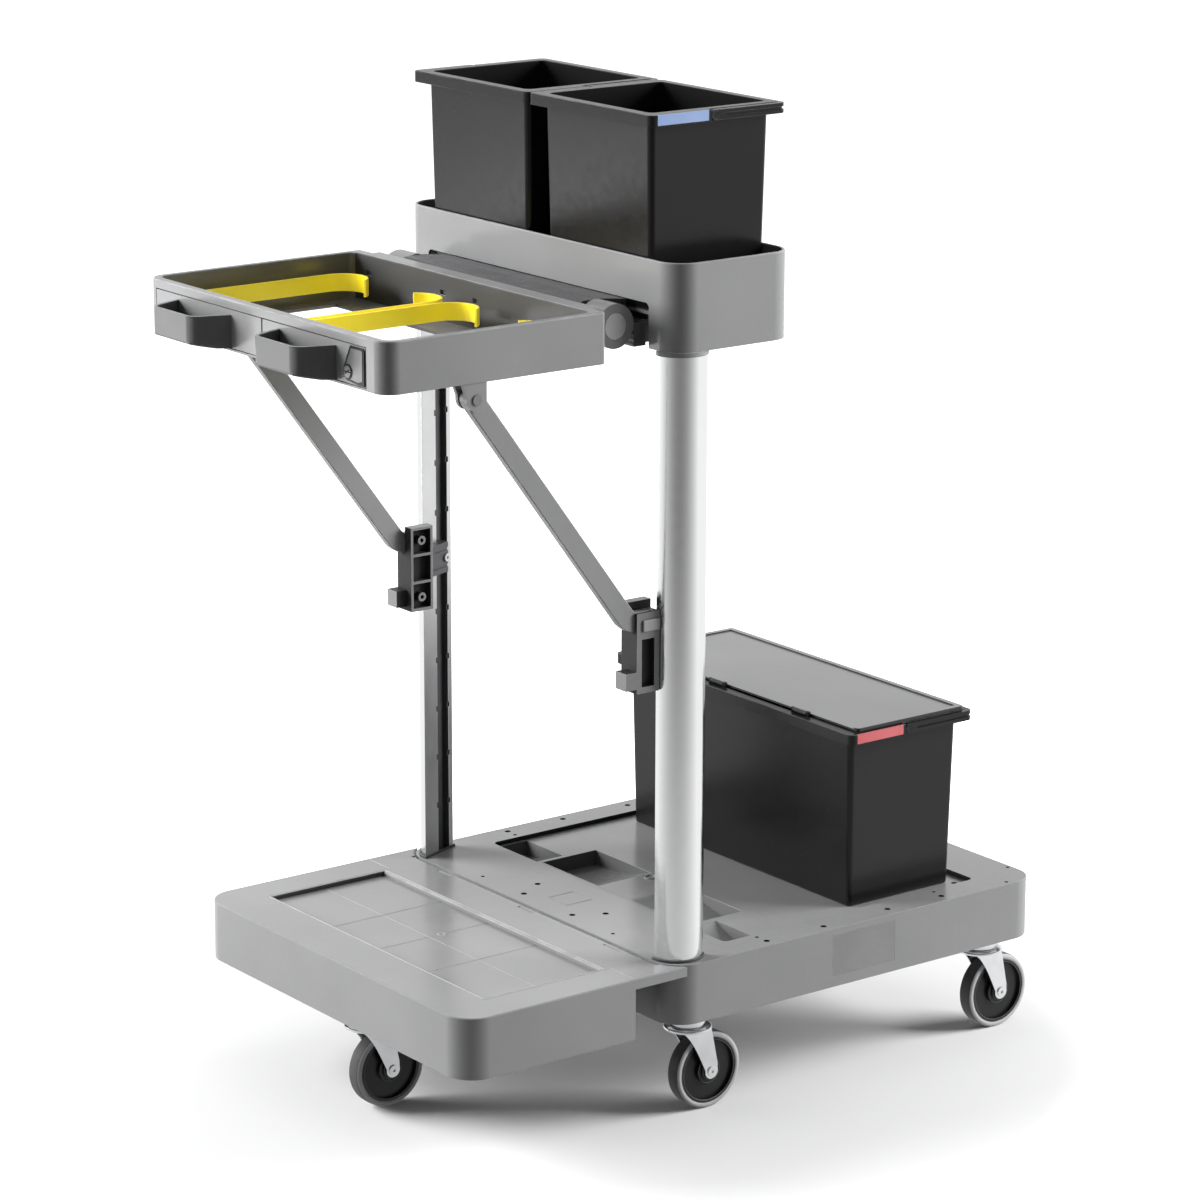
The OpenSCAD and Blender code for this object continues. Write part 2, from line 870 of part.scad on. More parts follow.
// Walls of the bag frame with the recess and slots for the pull-out fronts
module frame_walls() {
  inner = half_frame - frame_side;
  back = frame_front + front_wall;
  difference() {
    union() {
      translate([0, 0, frame_bottom]) linear_extrude(frame_height) frame_plan();
      block(-knuckle_out - 2, knuckle_out + 2, frame_rear - past, hinge_y - barrel_radius - 2,
        frame_bottom, frame_top);
    }
    slab(-inner, inner, back, inner_rear, frame_bottom - past, frame_top + past, inner_corner);
    x_rod(-half_frame - past, half_frame + past, hinge_y, hinge_z, hinge_clear);
    block(front_left_x, front_right_x, frame_front - past, frame_front + front_depth,
      front_bottom, front_top);
    block(front_left_x + slot_end, front_right_x - slot_end, frame_front - past, back + past,
      slot_bottom, slot_top);
    block(lock_x - 2 * tongue_half, lock_x + 2 * tongue_half, frame_front, back + past,
      lock_z - 2 * tongue_half, slot_bottom + past);
  }
}

module bag_frame() {
  inner = half_frame - frame_side;
  ledge_top = frame_bottom + ledge;
  color(grey)
    difference() {
      union() {
        frame_walls();
        both_sides() {
          block(inner - side_ledge, inner + past, frame_front + front_wall - past, inner_rear + past,
            frame_bottom, ledge_top);
          x_rod(knuckle_in, knuckle_out, hinge_y, hinge_z, knuckle_radius);
          block(knuckle_in, knuckle_out, frame_rear - past, hinge_y, hinge_z - 2 * knuckle_radius / 3,
            hinge_z + 2 * knuckle_radius / 3);
        }
        block(-inner - past, inner + past, inner_rear - rear_ledge, inner_rear + past,
          frame_bottom, ledge_top);
      }
      for (x = slot_spots)
        block(x - slot_half, x + slot_half, inner_rear - past, inner_rear + slot_depth,
          frame_top - slot_drop - slot_half, frame_top - slot_drop);
      x_rod(-half_frame, half_frame, hinge_y, hinge_z, shaft_radius + run_gap);
      both_sides()
        x_rod(knuckle_out - cap_depth, knuckle_out + past, hinge_y, hinge_z, cap_radius + snug);
    }
}

// Cheeks of a strut clevis for the right side
module clevis() {
  half = strut_thickness / 2 + strut_side_gap;
  for (x = [strut_x - half - cheek, strut_x + half])
    difference() {
      union() {
        x_rod(x, x + cheek, pivot_y, pivot_z, cheek_radius);
        block(x, x + cheek, pivot_y - cheek_radius, pivot_y + cheek_radius, pivot_z, frame_bottom);
        x_extrude(x, x + cheek)
          polygon([[pivot_y - cheek_radius, pivot_z + 4], [pivot_y - cheek_radius - 6, frame_bottom],
            [pivot_y, frame_bottom]]);
      }
      x_rod(x - past, x + cheek + past, pivot_y, pivot_z, strut_pin + snug);
    }
}

module strut_clevises() {
  color(grey) both_sides() clevis();
}

module strut_pins() {
  half = strut_thickness / 2 + strut_side_gap + cheek;
  color(zinc)
    both_sides() {
      x_rod(strut_x - half, strut_x + half, pivot_y, pivot_z, strut_pin);
      for (x = [strut_x - half - pin_head_length, strut_x + half])
        x_rod(x, x + pin_head_length, pivot_y, pivot_z, strut_pin + pin_head);
    }
}

// Side view of a strut, round ended, with a level foot
module strut_plan() {
  half = strut_width / 2;
  difference() {
    union() {
      translate([pivot_y, pivot_z]) circle(half);
      translate([pivot_y, pivot_z])
        rotate(-strut_angle)
          translate([0, -half]) square([strut_length, strut_width]);
      translate([foot_y, foot_z]) circle(half);
      translate([foot_y, foot_z - half])
        square([bracket_rear - bracket_wall - strut_end_gap - foot_y, strut_width]);
    }
    translate([pivot_y, pivot_z]) circle(strut_pin + run_gap);
    translate([foot_y - strut_width, foot_z - half - strut_width])
      square([3 * strut_width, strut_width + gap]);
  }
}

// Strut for the right side
module strut() {
  x_extrude(strut_x - strut_thickness / 2, strut_x + strut_thickness / 2) strut_plan();
}

module strut_right() {
  color(grey) strut();
}

module strut_left() {
  color(grey) mirror([1, 0, 0]) strut();
}

// Bracket for the right side: a ribbed channel inside and an open cradle for the strut foot outside
module bracket() {
  wall = bracket_wall;
  web_out = strut_x - strut_thickness / 2 - strut_side_gap;
  web_in = web_out - wall;
  rib_in = web_in - bracket_rib;
  wall_in = strut_x + strut_thickness / 2 + strut_side_gap;
  wall_out = wall_in + wall;
  middle = (bracket_front + bracket_rear) / 2;
  boss_heights = [bracket_bottom + bracket_boss_inset, bracket_top - bracket_boss_inset];
  shelf = 2 * bracket_boss_inset;
  difference() {
    union() {
      block(web_in, web_out, bracket_front, bracket_rear, bracket_bottom, bracket_top);
      for (y = [bracket_front, bracket_rear - wall])
        block(rib_in, web_in + past, y, y + wall, bracket_bottom, bracket_top);
      for (z = [bracket_bottom, bracket_bottom + shelf, bracket_bottom + 2 * shelf, bracket_top - wall])
        block(rib_in, web_in + past, bracket_front, bracket_rear, z, z + wall);
      for (z = boss_heights)
        x_rod(rib_in, web_in + past, middle, z, bracket_boss);
      block(web_out - past, wall_out, bracket_front, bracket_rear, bracket_bottom, cradle_floor);
      block(wall_in, wall_out, bracket_front, bracket_rear, cradle_floor - past, cradle_top);
      block(web_out - past, wall_out, bracket_rear - wall, bracket_rear, cradle_floor - past, cradle_top);
      block(web_in, wall_out, bracket_front - toe_length, bracket_front + past,
        bracket_bottom + toe_low, bracket_bottom + toe_high);
    }
    for (z = boss_heights)
      x_rod(rib_in - past, web_in - wall / 2, middle, z, bracket_boss_bore);
    block(wall_in - wall, wall_out + past, bracket_front + window_inset, bracket_rear - window_inset,
      bracket_bottom + window_inset, cradle_floor - window_inset);
  }
}

module bracket_right() {
  color(dark) bracket();
}

module bracket_left() {
  color(dark) mirror([1, 0, 0]) bracket();
}

// Block on the flat side of the right post, in the groove's own directions
module flat_block(start, end, deep, proud, z0, z1) {
  translate([post_x, post_y, z0])
    linear_extrude(z1 - z0)
      groove_plan(start, end, deep, proud);
}

// Rod square to the flat side of the right post
module flat_rod(along, deep, proud, z, r) {
  translate([post_x, post_y, z])
    rotate([0, 0, 180 - flat_turn])
      translate([-post_flat - deep, -along, 0])
        rotate([0, 90, 0]) cylinder(h = deep + proud, r = r);
}

module post_clamps() {
  clamp_top = clamp_bottom + clamp_height;
  clamp_end = groove_start + clamp_hook;
  color(dark)
    both_sides()
      difference() {
        union() {
          flat_block(-half_chord - clamp_reach, clamp_end, 0, clamp_thickness, clamp_bottom, clamp_top);
          flat_block(groove_start + 0.2, clamp_end, groove_depth - 0.3, past, clamp_bottom, clamp_top);
        }
        block(post_x - 2 * post_radius, post_x + post_radius, bracket_rear - post_radius, bracket_rear,
          clamp_bottom - past, clamp_top + past);
        for (z = [clamp_middle - clamp_slot_rise, clamp_middle + clamp_slot_rise])
          flat_block(-half_chord, clamp_end + past, clamp_slot - clamp_thickness, clamp_thickness + past,
            z - clamp_slot, z + clamp_slot);
        flat_rod(screw_along, groove_depth, clamp_thickness + past, clamp_middle, screw_radius + snug);
      }
}

module clamp_screws() {
  color(zinc)
    both_sides() {
      flat_rod(screw_along, groove_depth - 1, clamp_thickness + past, clamp_middle, screw_radius);
      difference() {
        flat_rod(screw_along, -clamp_thickness, clamp_thickness + screw_head_height, clamp_middle,
          screw_radius + screw_head);
        flat_rod(screw_along, -clamp_thickness - screw_head_height / 2.5,
          clamp_thickness + screw_head_height + past, clamp_middle, screw_socket);
      }
    }
}

// Plan of a handle, moved inward, from its rear edge to its nose
module handle_plan(centre, inset, rear) {
  root = handle_root / 2 - 1.25 * inset;
  side = handle_nose / 2 + nose_flare - 1.25 * inset;
  corner = handle_nose / 2 - nose_corner - inset / 2;
  front = handle_front + inset;
  side_y = handle_front + nose_depth + inset / 2;
  polygon([[centre - root, rear], [centre + root, rear], [centre + side, side_y], [centre + corner, front],
    [centre - corner, front], [centre - side, side_y]]);
}

// Pull-out front with a hollow handle
module pull_front(x0, x1, centre) {
  chamfer_rear = frame_front - 12;
  difference() {
    union() {
      block(x0, x1, frame_front, frame_front + front_thickness, handle_bottom, front_top - front_gap);
      translate([0, 0, handle_bottom])
        linear_extrude(handle_height) handle_plan(centre, 0, frame_front + past);
    }
    translate([0, 0, handle_bottom + handle_floor])
      linear_extrude(handle_height) handle_plan(centre, skin, frame_front);
    x_extrude(x0, x1)
      polygon([[handle_front - past, handle_bottom - past], [chamfer_rear, handle_bottom - past],
        [handle_front - past, handle_bottom + handle_floor - past]]);
  }
}

module front_left() {
  color(grey) pull_front(front_left_x + front_gap, front_split - split_half, handle_left_x);
}

module front_right() {
  color(grey)
    difference() {
      pull_front(front_split + split_half, front_right_x - front_gap, handle_right_x);
      y_rod(lock_x, frame_front - past, frame_front + 2 * front_thickness, lock_z, lock_radius + run_gap);
    }
}

// Arm of a bag loop with its hooked end, left arm at x
module loop_arm(x) {
  far = 2 * loop_radius;
  block(x, x + band, frame_front + front_thickness, loop_end, band_bottom, band_bottom + band_height);
  translate([x + loop_radius, loop_end, band_bottom])
    linear_extrude(band_height)
      intersection() {
        difference() {
          circle(loop_radius);
          circle(loop_radius - band);
        }
        polygon([[0, 0], [-far, 0], [-far, far], [far, far], [far, far * tan(hook_angle)]]);
      }
}

// Bag loop between two outer edges
module bag_loop(x0, x1) {
  loop_arm(x0);
  translate([x0 + x1, 0, 0]) mirror([1, 0, 0]) loop_arm(x0);
}

module bag_loop_left() {
  color(yellow) bag_loop(front_left_x + loop_side, front_split - loop_side - 0.5);
}

module bag_loop_right() {
  color(yellow) bag_loop(front_split + loop_side + 0.5, front_right_x - loop_side);
}

module lock_plate() {
  right = front_right_x - lock_plate_margin;
  low = front_bottom + lock_plate_margin;
  high = front_top - lock_plate_margin;
  color(dark)
    difference() {
      translate([0, frame_front, 0])
        rotate([90, 0, 0])
          linear_extrude(lock_plate_thickness)
            polygon([[lock_x - 19, low], [right, low], [right, high], [lock_x + 4, high]]);
      y_rod(lock_x, frame_front - 2 * lock_plate_thickness, frame_front + past, lock_z,
        lock_radius + run_gap);
    }
}

module lock_barrel() {
  tongue_front = frame_front + front_wall + gap;
  face = frame_front - lock_proud;
  color(zinc)
    difference() {
      union() {
        y_rod(lock_x, face, frame_front + front_thickness, lock_z, lock_radius);
        y_rod(lock_x, frame_front + front_thickness - past, tongue_front + tongue, lock_z, lock_stem);
        block(lock_x - tongue_half, lock_x + tongue_half, tongue_front, tongue_front + tongue,
          lock_z, lock_z + tongue_length);
      }
      block(lock_x - lock_radius, lock_x + lock_radius, face - past, face + 2 * lock_slot,
        lock_z - lock_slot, lock_z + lock_slot);
    }
}

// Outline of a bin rim, moved inward
module rim_plan(width, inset) {
  round_plan(inset, width - inset, inset, bin_length - inset, max(bin_corner - inset, 2));
}

// Tapered body of a bin, moved inward by a wall
module bin_body(width, wall, base) {
  slice = 0.5;
  top_end = end_inset + wall;
  top_side = side_inset + wall;
  low_end = top_end + end_taper;
  low_side = top_side + side_taper;
  hull() {
    translate([0, 0, base])
      linear_extrude(slice)
        round_plan(low_end, width - low_end, low_side, bin_length - low_side, body_corner - 1, $fn = 32);
    translate([0, 0, bin_height - slice])
      linear_extrude(slice)
        round_plan(top_end, width - top_end, top_side, bin_length - top_side, body_corner, $fn = 32);
  }
}

// Band of a bin rim with an inward lip, from one place along the bin to another
module rim_band(width, inset, y0, y1) {
  low = bin_height - rim_height;
  difference() {
    translate([0, 0, low]) linear_extrude(rim_height) rim_plan(width, inset);
    translate([0, 0, low - past])
      linear_extrude(rim_height - bin_wall + past) rim_plan(width, inset + bin_wall);
    block(-past, width + past, -2 * past, y0, low - past, bin_height + past);
    block(-past, width + past, y1, bin_length + 2 * past, low - past, bin_height + past);
  }
}

// Bin with a front rim band and a narrower rear rim for the bail
module bin(width, label) {
  pin_z = bin_height - rim_height / 2;
  inset = bail + bail_gap;
  step = bail_y - bail_eye - bail_gap;
  difference() {
    union() {
      bin_body(width, 0, 0);
      rim_band(width, 0, -past, step);
      rim_band(width, inset, step - bin_wall, bin_length + past);
      x_rod(pin_end_gap, inset + past, bail_y, pin_z, bail_pin);
      x_rod(width - inset - past, width - pin_end_gap, bail_y, pin_z, bail_pin);
    }
    translate([0, 0, past]) bin_body(width, bin_wall, bin_wall - past);
    if (label)
      block(width - label_thickness, width + past, label_start, label_start + label_length,
        bin_height - rim_height + label_rise, bin_height + past);
  }
}

// Bail handle around the rear half of a rim, with a groove round its middle
module bail_handle(width) {
  bottom = bin_height - rim_height + bail_gap;
  pin_z = bin_height - rim_height / 2;
  groove = bail_groove;
  difference() {
    union() {
      difference() {
        translate([0, 0, bottom]) linear_extrude(rim_height - 2 * bail_gap) rim_plan(width, 0);
        translate([0, 0, bottom - past]) linear_extrude(rim_height + past) rim_plan(width, bail);
        block(-past, width + past, -past, bail_y, bottom - past, bin_height + past);
        difference() {
          translate([0, 0, pin_z - groove]) linear_extrude(2 * groove) rim_plan(width, -past);
          translate([0, 0, pin_z - 2 * groove])
            linear_extrude(4 * groove) rim_plan(width, bail_groove_depth);
          block(-2 * past, width + 2 * past, -2 * past, bail_y + bail_groove_start, bottom, bin_height);
        }
      }
      x_rod(0, bail, bail_y, pin_z, bail_eye);
      x_rod(width - bail, width, bail_y, pin_z, bail_eye);
    }
    x_rod(-past, width + past, bail_y, pin_z, bail_pin + run_gap);
  }
}

// Coloured label set in the rim
module label(width) {
  block(width - label_thickness + snug, width, label_start + snug, label_start + label_length - snug,
    bin_height - rim_height + label_rise + snug, bin_height);
}

module bin_top_left() {
  color(black) translate([-top_bin_width - bin_split, top_bin_y, floor_top]) bin(top_bin_width, false);
}

module bail_top_left() {
  color(black) translate([-top_bin_width - bin_split, top_bin_y, floor_top]) bail_handle(top_bin_width);
}

module bin_top_right() {
  color(black) translate([bin_split, top_bin_y, floor_top]) bin(top_bin_width, true);
}

module bail_top_right() {
  color(black) translate([bin_split, top_bin_y, floor_top]) bail_handle(top_bin_width);
}

module label_blue() {
  color([0.55, 0.68, 0.92]) translate([bin_split, top_bin_y, floor_top]) label(top_bin_width);
}

// Pins on the bin rim that carry the lid
module lid_clips() {
  z = bin_height + lid_knuckle + lid_gap;
  half = clip_length / 2;
  for (x = clip_spots) {
    for (dx = [-half - clip_post - gap, half + gap])
      block(half_rim + x + dx, half_rim + x + dx + clip_post, lid_front - clip_post_half,
        lid_front + clip_post_half, bin_height - past, z + lid_pin + 0.8);
    x_rod(half_rim + x - half - clip_post + past, half_rim + x + half + clip_post - past, lid_front, z,
      lid_pin);
  }
}

module bin_lower() {
  color(black)
    translate([-half_rim, lower_bin_y, lower_bin_z]) {
      bin(lower_bin_width, true);
      lid_clips();
    }
}

module bail_lower() {
  color(black) translate([-half_rim, lower_bin_y, lower_bin_z]) bail_handle(lower_bin_width);
}

module label_red() {
  color([0.8, 0.33, 0.35]) translate([-half_rim, lower_bin_y, lower_bin_z]) label(lower_bin_width);
}

module lid() {
  bottom = bin_height + lid_gap;
  top = bottom + lid_plate + lid_border;
  front = lid_front + lid_knuckle + lid_front_gap;
  rear = bin_length - lid_rear_inset;
  x0 = lid_inset;
  x1 = lower_bin_width - lid_inset;
  pin_z = bottom + lid_knuckle;
  half = clip_length / 2;
  color(grey)
    translate([-half_rim, lower_bin_y, lower_bin_z])
      difference() {
        union() {
          difference() {
            slab(x0, x1, front, rear, bottom, top, lid_corner);
            block(x0 + lid_border_width, x1 - lid_border_width, front - past, rear - lid_border_width,
              bottom + lid_plate, top + past);
          }
          for (x = clip_spots) {
            x_rod(half_rim + x - half, half_rim + x + half, lid_front, pin_z, lid_knuckle);
            block(half_rim + x - half, half_rim + x + half, lid_front, front + lid_plate, bottom,
              bottom + lid_plate);
          }
        }
        for (x = clip_spots)
          x_rod(half_rim + x - clip_length, half_rim + x + clip_length, lid_front, pin_z, lid_pin + run_gap);
      }
}

// Fixed upper half of a castor with its king pin
module swivel_housing(x, y) {
  nut_top = fork_top - fork_plate - gap;
  translate([x, y, 0]) {
    slab(-flange_half, flange_half, -flange_half, flange_half, skirt_bottom - flange, skirt_bottom,
      flange_corner);
    translate([0, 0, fork_top + gap])
      cylinder(h = skirt_bottom - flange - fork_top - gap, r = bearing_radius);
    translate([0, 0, nut_top]) cylinder(h = fork_plate + 2 * gap + past, r = king_radius);
    translate([0, 0, nut_top - king_head]) cylinder(h = king_head, r = king_radius + king_head);
  }
}

module swivel_housings() {
  color(zinc)
    both_sides() {
      swivel_housing(castor_x, castor_front_y);
      swivel_housing(castor_x, castor_rear_y);
    }
}

module platform_swivel() {
  color(zinc) swivel_housing(0, castor_platform_y);
}

// Castor fork
module fork(x, y) {
  leg_top = fork_top - past;
  color(zinc)
    translate([x, y, 0])
      difference() {
        union() {
          translate([0, 0, fork_top - fork_plate]) cylinder(h = fork_plate, r = fork_radius);
          both_sides() {
            x_extrude(leg_in, leg_out)
              polygon([[-leg_lead, leg_top], [leg_back, leg_top],
                [castor_trail + leg_eye - 0.1, wheel_radius + 1],
                [castor_trail - leg_eye + 1, wheel_radius - 4.4]]);
            x_rod(leg_in, leg_out, castor_trail, wheel_radius, leg_eye);
          }
        }
        translate([0, 0, fork_top - 2 * fork_plate])
          cylinder(h = 3 * fork_plate, r = king_radius + run_gap);
        x_rod(-leg_out - past, leg_out + past, castor_trail, wheel_radius, axle_radius + snug);
      }
}

// Hollow rivet axle
module axle(x, y) {
  end = leg_out + rivet_proud;
  color(silver)
    translate([x, y + castor_trail, wheel_radius])
      difference() {
        union() {
          x_rod(-end, end, 0, 0, axle_radius);
          both_sides() x_rod(leg_out, end, 0, 0, axle_radius + rivet_head);
        }
        both_sides() x_rod(leg_out - 2 * rivet_proud, end + past, 0, 0, 0.55 * axle_radius);
      }
}

// Wheel hub, dished on both sides
module hub(x, y) {
  half = tyre_width / 2;
  color(black)
    translate([x, y + castor_trail, wheel_radius])
      difference() {
        union() {
          x_rod(-half, half, 0, 0, hub_radius);
          x_rod(gap - leg_in, leg_in - gap, 0, 0, hub_boss);
        }
        both_sides()
          difference() {
            x_rod(half - hub_dish, half + past, 0, 0, hub_radius - hub_lip);
            x_rod(half - hub_dish - past, half + 2 * past, 0, 0, hub_ring);
          }
        x_rod(-leg_in, leg_in, 0, 0, axle_radius + run_gap);
      }
}

// Tyre with rounded shoulders
module tyre(x, y) {
  half = tyre_width / 2;
  color([0.45, 0.45, 0.46])
    translate([x, y + castor_trail, wheel_radius])
      rotate([0, 90, 0])
        rotate_extrude($fn = 96)
          polygon([[hub_radius, -half], [wheel_radius - 3, -half], [wheel_radius - 0.8, 2.5 - half],
            [wheel_radius, 6 - half], [wheel_radius, half - 6], [wheel_radius - 0.8, half - 2.5],
            [wheel_radius - 3, half], [hub_radius, half]]);
}

deck();
blank_plate();
post_sockets();
post_left();
post_right();
tray();
post_collars();
hinge_bracket();
hinge_cover();
hinge_shaft();
bracket_left();
bracket_right();
post_clamps();
clamp_screws();
platform_rod();
swivel_housings();
fold_platform();
platform_swivel();
bag_frame();
hinge_caps();
strut_clevises();
strut_pins();
front_left();
bag_loop_left();
front_right();
bag_loop_right();
lock_plate();
lock_barrel();
strut_left();
strut_right();
bin_top_left();
bail_top_left();
bin_top_right();
bail_top_right();
label_blue();
bin_lower();
bail_lower();
label_red();
lid();
fork(-castor_x, castor_front_y);  // fork_front_left
axle(-castor_x, castor_front_y);  // axle_front_left
hub(-castor_x, castor_front_y);  // hub_front_left
tyre(-castor_x, castor_front_y);  // tyre_front_left
fork(castor_x, castor_front_y);  // fork_front_right
axle(castor_x, castor_front_y);  // axle_front_right
hub(castor_x, castor_front_y);  // hub_front_right
tyre(castor_x, castor_front_y);  // tyre_front_right
fork(-castor_x, castor_rear_y);  // fork_rear_left
axle(-castor_x, castor_rear_y);  // axle_rear_left
hub(-castor_x, castor_rear_y);  // hub_rear_left
tyre(-castor_x, castor_rear_y);  // tyre_rear_left
fork(castor_x, castor_rear_y);  // fork_rear_right
axle(castor_x, castor_rear_y);  // axle_rear_right
hub(castor_x, castor_rear_y);  // hub_rear_right
tyre(castor_x, castor_rear_y);  // tyre_rear_right
fork(0, castor_platform_y);  // fork_platform
axle(0, castor_platform_y);  // axle_platform
hub(0, castor_platform_y);  // hub_platform
tyre(0, castor_platform_y);  // tyre_platform
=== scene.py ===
import json
from math import cos, hypot, pi, radians, sin

import bmesh
import bpy
from mathutils import Matrix, Vector


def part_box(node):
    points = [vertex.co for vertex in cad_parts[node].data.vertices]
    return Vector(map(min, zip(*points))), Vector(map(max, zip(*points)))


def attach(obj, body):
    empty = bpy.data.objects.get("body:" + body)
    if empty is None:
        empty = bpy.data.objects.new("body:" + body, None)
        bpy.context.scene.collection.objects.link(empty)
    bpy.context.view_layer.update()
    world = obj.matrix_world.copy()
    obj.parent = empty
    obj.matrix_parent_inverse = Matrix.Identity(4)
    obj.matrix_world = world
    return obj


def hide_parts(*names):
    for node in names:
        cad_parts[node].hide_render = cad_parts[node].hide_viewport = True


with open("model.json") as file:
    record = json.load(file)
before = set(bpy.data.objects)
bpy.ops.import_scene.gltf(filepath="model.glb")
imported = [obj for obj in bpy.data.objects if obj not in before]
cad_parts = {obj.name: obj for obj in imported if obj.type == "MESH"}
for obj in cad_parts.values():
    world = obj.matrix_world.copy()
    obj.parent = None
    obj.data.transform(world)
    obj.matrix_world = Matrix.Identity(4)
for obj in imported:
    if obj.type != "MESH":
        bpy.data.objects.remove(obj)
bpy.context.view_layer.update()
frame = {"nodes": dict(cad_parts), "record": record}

nodes = frame["nodes"]
scene = bpy.context.scene
bodyOf = {node: body for body, members in frame["record"]["behaviour"]["bodies"].items() for node in members}
slotOf = {part["node"]: part["material_slot"] for part in frame["record"]["subparts"]}
mm = 0.001
castorNames = ["front_left", "front_right", "rear_left", "rear_right", "platform"]
print("frame loaded:", len(nodes), "nodes")


# Small helpers for node trees

def addNode(tree, kind, **settings):
    node = tree.nodes.new(kind)
    for key, value in settings.items():
        setattr(node, key, value)
    return node


def feed(tree, node, **inputs):
    for key, value in inputs.items():
        socket = node.inputs[int(key[1:])] if key[0] == "i" and key[1:].isdigit() else node.inputs[key]
        if isinstance(value, bpy.types.NodeSocket):
            tree.links.new(value, socket)
        else:
            socket.default_value = value
    return node


def mathNode(tree, operation, first, second=0.0, clamp=False):
    node = addNode(tree, "ShaderNodeMath", operation=operation, use_clamp=clamp)
    feed(tree, node, i0=first, i1=second)
    return node.outputs[0]


def mixColour(tree, factor, first, second, blend="MIX"):
    node = addNode(tree, "ShaderNodeMix", data_type="RGBA", blend_type=blend)
    feed(tree, node, i0=factor, i6=first, i7=second)
    return node.outputs[2]


def spread(tree, value, low, high, outLow=0.0, outHigh=1.0):
    node = addNode(tree, "ShaderNodeMapRange")
    feed(tree, node, i0=value, i1=low, i2=high, i3=outLow, i4=outHigh)
    return node.outputs[0]


def newGroup(name, inputs, outputs):
    group = bpy.data.node_groups.new(name, "ShaderNodeTree")
    for socketName, kind, value in inputs:
        socket = group.interface.new_socket(name=socketName, in_out="INPUT", socket_type=kind)
        if value is not None:
            socket.default_value = value
    for socketName, kind in outputs:
        group.interface.new_socket(name=socketName, in_out="OUTPUT", socket_type=kind)
    return group, group.nodes.new("NodeGroupInput"), group.nodes.new("NodeGroupOutput")


def useGroup(tree, group, **inputs):
    node = addNode(tree, "ShaderNodeGroup", node_tree=group)
    return feed(tree, node, **inputs)


# Shared surface effects

def makeMottle():  # broad and fine colour variation
    group, enter, leave = newGroup(
        "mottle",
        [("Place", "NodeSocketVector", None), ("Size", "NodeSocketFloat", 6.0)],
        [("Broad", "NodeSocketFloat"), ("Fine", "NodeSocketFloat")])
    broad = addNode(group, "ShaderNodeTexNoise")
    feed(group, broad, Vector=enter.outputs["Place"], Scale=enter.outputs["Size"], Detail=2.0)
    fine = addNode(group, "ShaderNodeTexNoise")
    fineSize = mathNode(group, "MULTIPLY", enter.outputs["Size"], 22.0)
    feed(group, fine, Vector=enter.outputs["Place"], Scale=fineSize, Detail=2.0, Roughness=0.6)
    feed(group, leave, Broad=spread(group, broad.outputs[0], 0.3, 0.7),
         Fine=spread(group, fine.outputs[0], 0.3, 0.7))
    return group


def makeGrain():  # fine spark-eroded texture of moulded plastic
    group, enter, leave = newGroup(
        "mouldGrain",
        [("Place", "NodeSocketVector", None), ("Size", "NodeSocketFloat", 900.0)],
        [("Height", "NodeSocketFloat")])
    cloud = addNode(group, "ShaderNodeTexNoise")
    feed(group, cloud, Vector=enter.outputs["Place"], Scale=enter.outputs["Size"], Detail=1.0)
    feed(group, leave, Height=cloud.outputs[0])
    return group


def makeEdgeWearAndHighlight():  # rounded edges rubbed paler, and painted highlights where the mark is raised, broken up by noise
    group, enter, leave = newGroup(
        "edgeWearAndHighlight", [("Place", "NodeSocketVector", None)], [("Mask", "NodeSocketFloat")])
    rounded = addNode(group, "ShaderNodeAttribute", attribute_name="wearAndHighlight")
    patch = addNode(group, "ShaderNodeTexNoise")
    feed(group, patch, Vector=enter.outputs["Place"], Scale=34.0, Detail=3.0)
    broken = spread(group, patch.outputs[0], 0.36, 0.62, 0.3, 1.0)
    feed(group, leave, Mask=mathNode(group, "MULTIPLY", rounded.outputs["Fac"], broken, clamp=True))
    return group


def makeScuffs():  # hair-thin marks from handling
    group, enter, leave = newGroup(
        "scuffs",
        [("Place", "NodeSocketVector", None), ("Size", "NodeSocketFloat", 14.0)],
        [("Mask", "NodeSocketFloat")])
    vein = addNode(group, "ShaderNodeTexNoise")
    feed(group, vein, Vector=enter.outputs["Place"], Scale=enter.outputs["Size"], Detail=1.0, Distortion=1.2)
    away = mathNode(group, "ABSOLUTE", mathNode(group, "SUBTRACT", vein.outputs[0], 0.5))
    line = spread(group, away, 0.005, 0.0)
    where = addNode(group, "ShaderNodeTexNoise")
    feed(group, where, Vector=enter.outputs["Place"], Scale=5.0, Detail=0.0)
    feed(group, leave, Mask=mathNode(group, "MULTIPLY", line, spread(group, where.outputs[0], 0.5, 0.65)))
    return group


def makeDrawnLines():  # lengthwise lines of an extruded metal
    group, enter, leave = newGroup(
        "drawnLines",
        [("Place", "NodeSocketVector", None), ("Size", "NodeSocketFloat", 420.0)],
        [("Height", "NodeSocketFloat")])
    stretch = addNode(group, "ShaderNodeMapping")
    feed(group, stretch, Vector=enter.outputs["Place"], Scale=(1.0, 1.0, 0.004))
    lines = addNode(group, "ShaderNodeTexNoise")
    feed(group, lines, Vector=stretch.outputs[0], Scale=enter.outputs["Size"], Detail=2.0)
    feed(group, leave, Height=lines.outputs[0])
    return group


mottle = makeMottle()
mouldGrain = makeGrain()
edgeWearAndHighlight = makeEdgeWearAndHighlight()
scuffs = makeScuffs()
drawnLines = makeDrawnLines()


# Finishes

def startMaterial(name):
    material = bpy.data.materials.new(name)
    material.use_nodes = True
    tree = material.node_tree
    shader = tree.nodes["Principled BSDF"]
    place = addNode(tree, "ShaderNodeTexCoord").outputs["Object"]
    return material, tree, shader, place


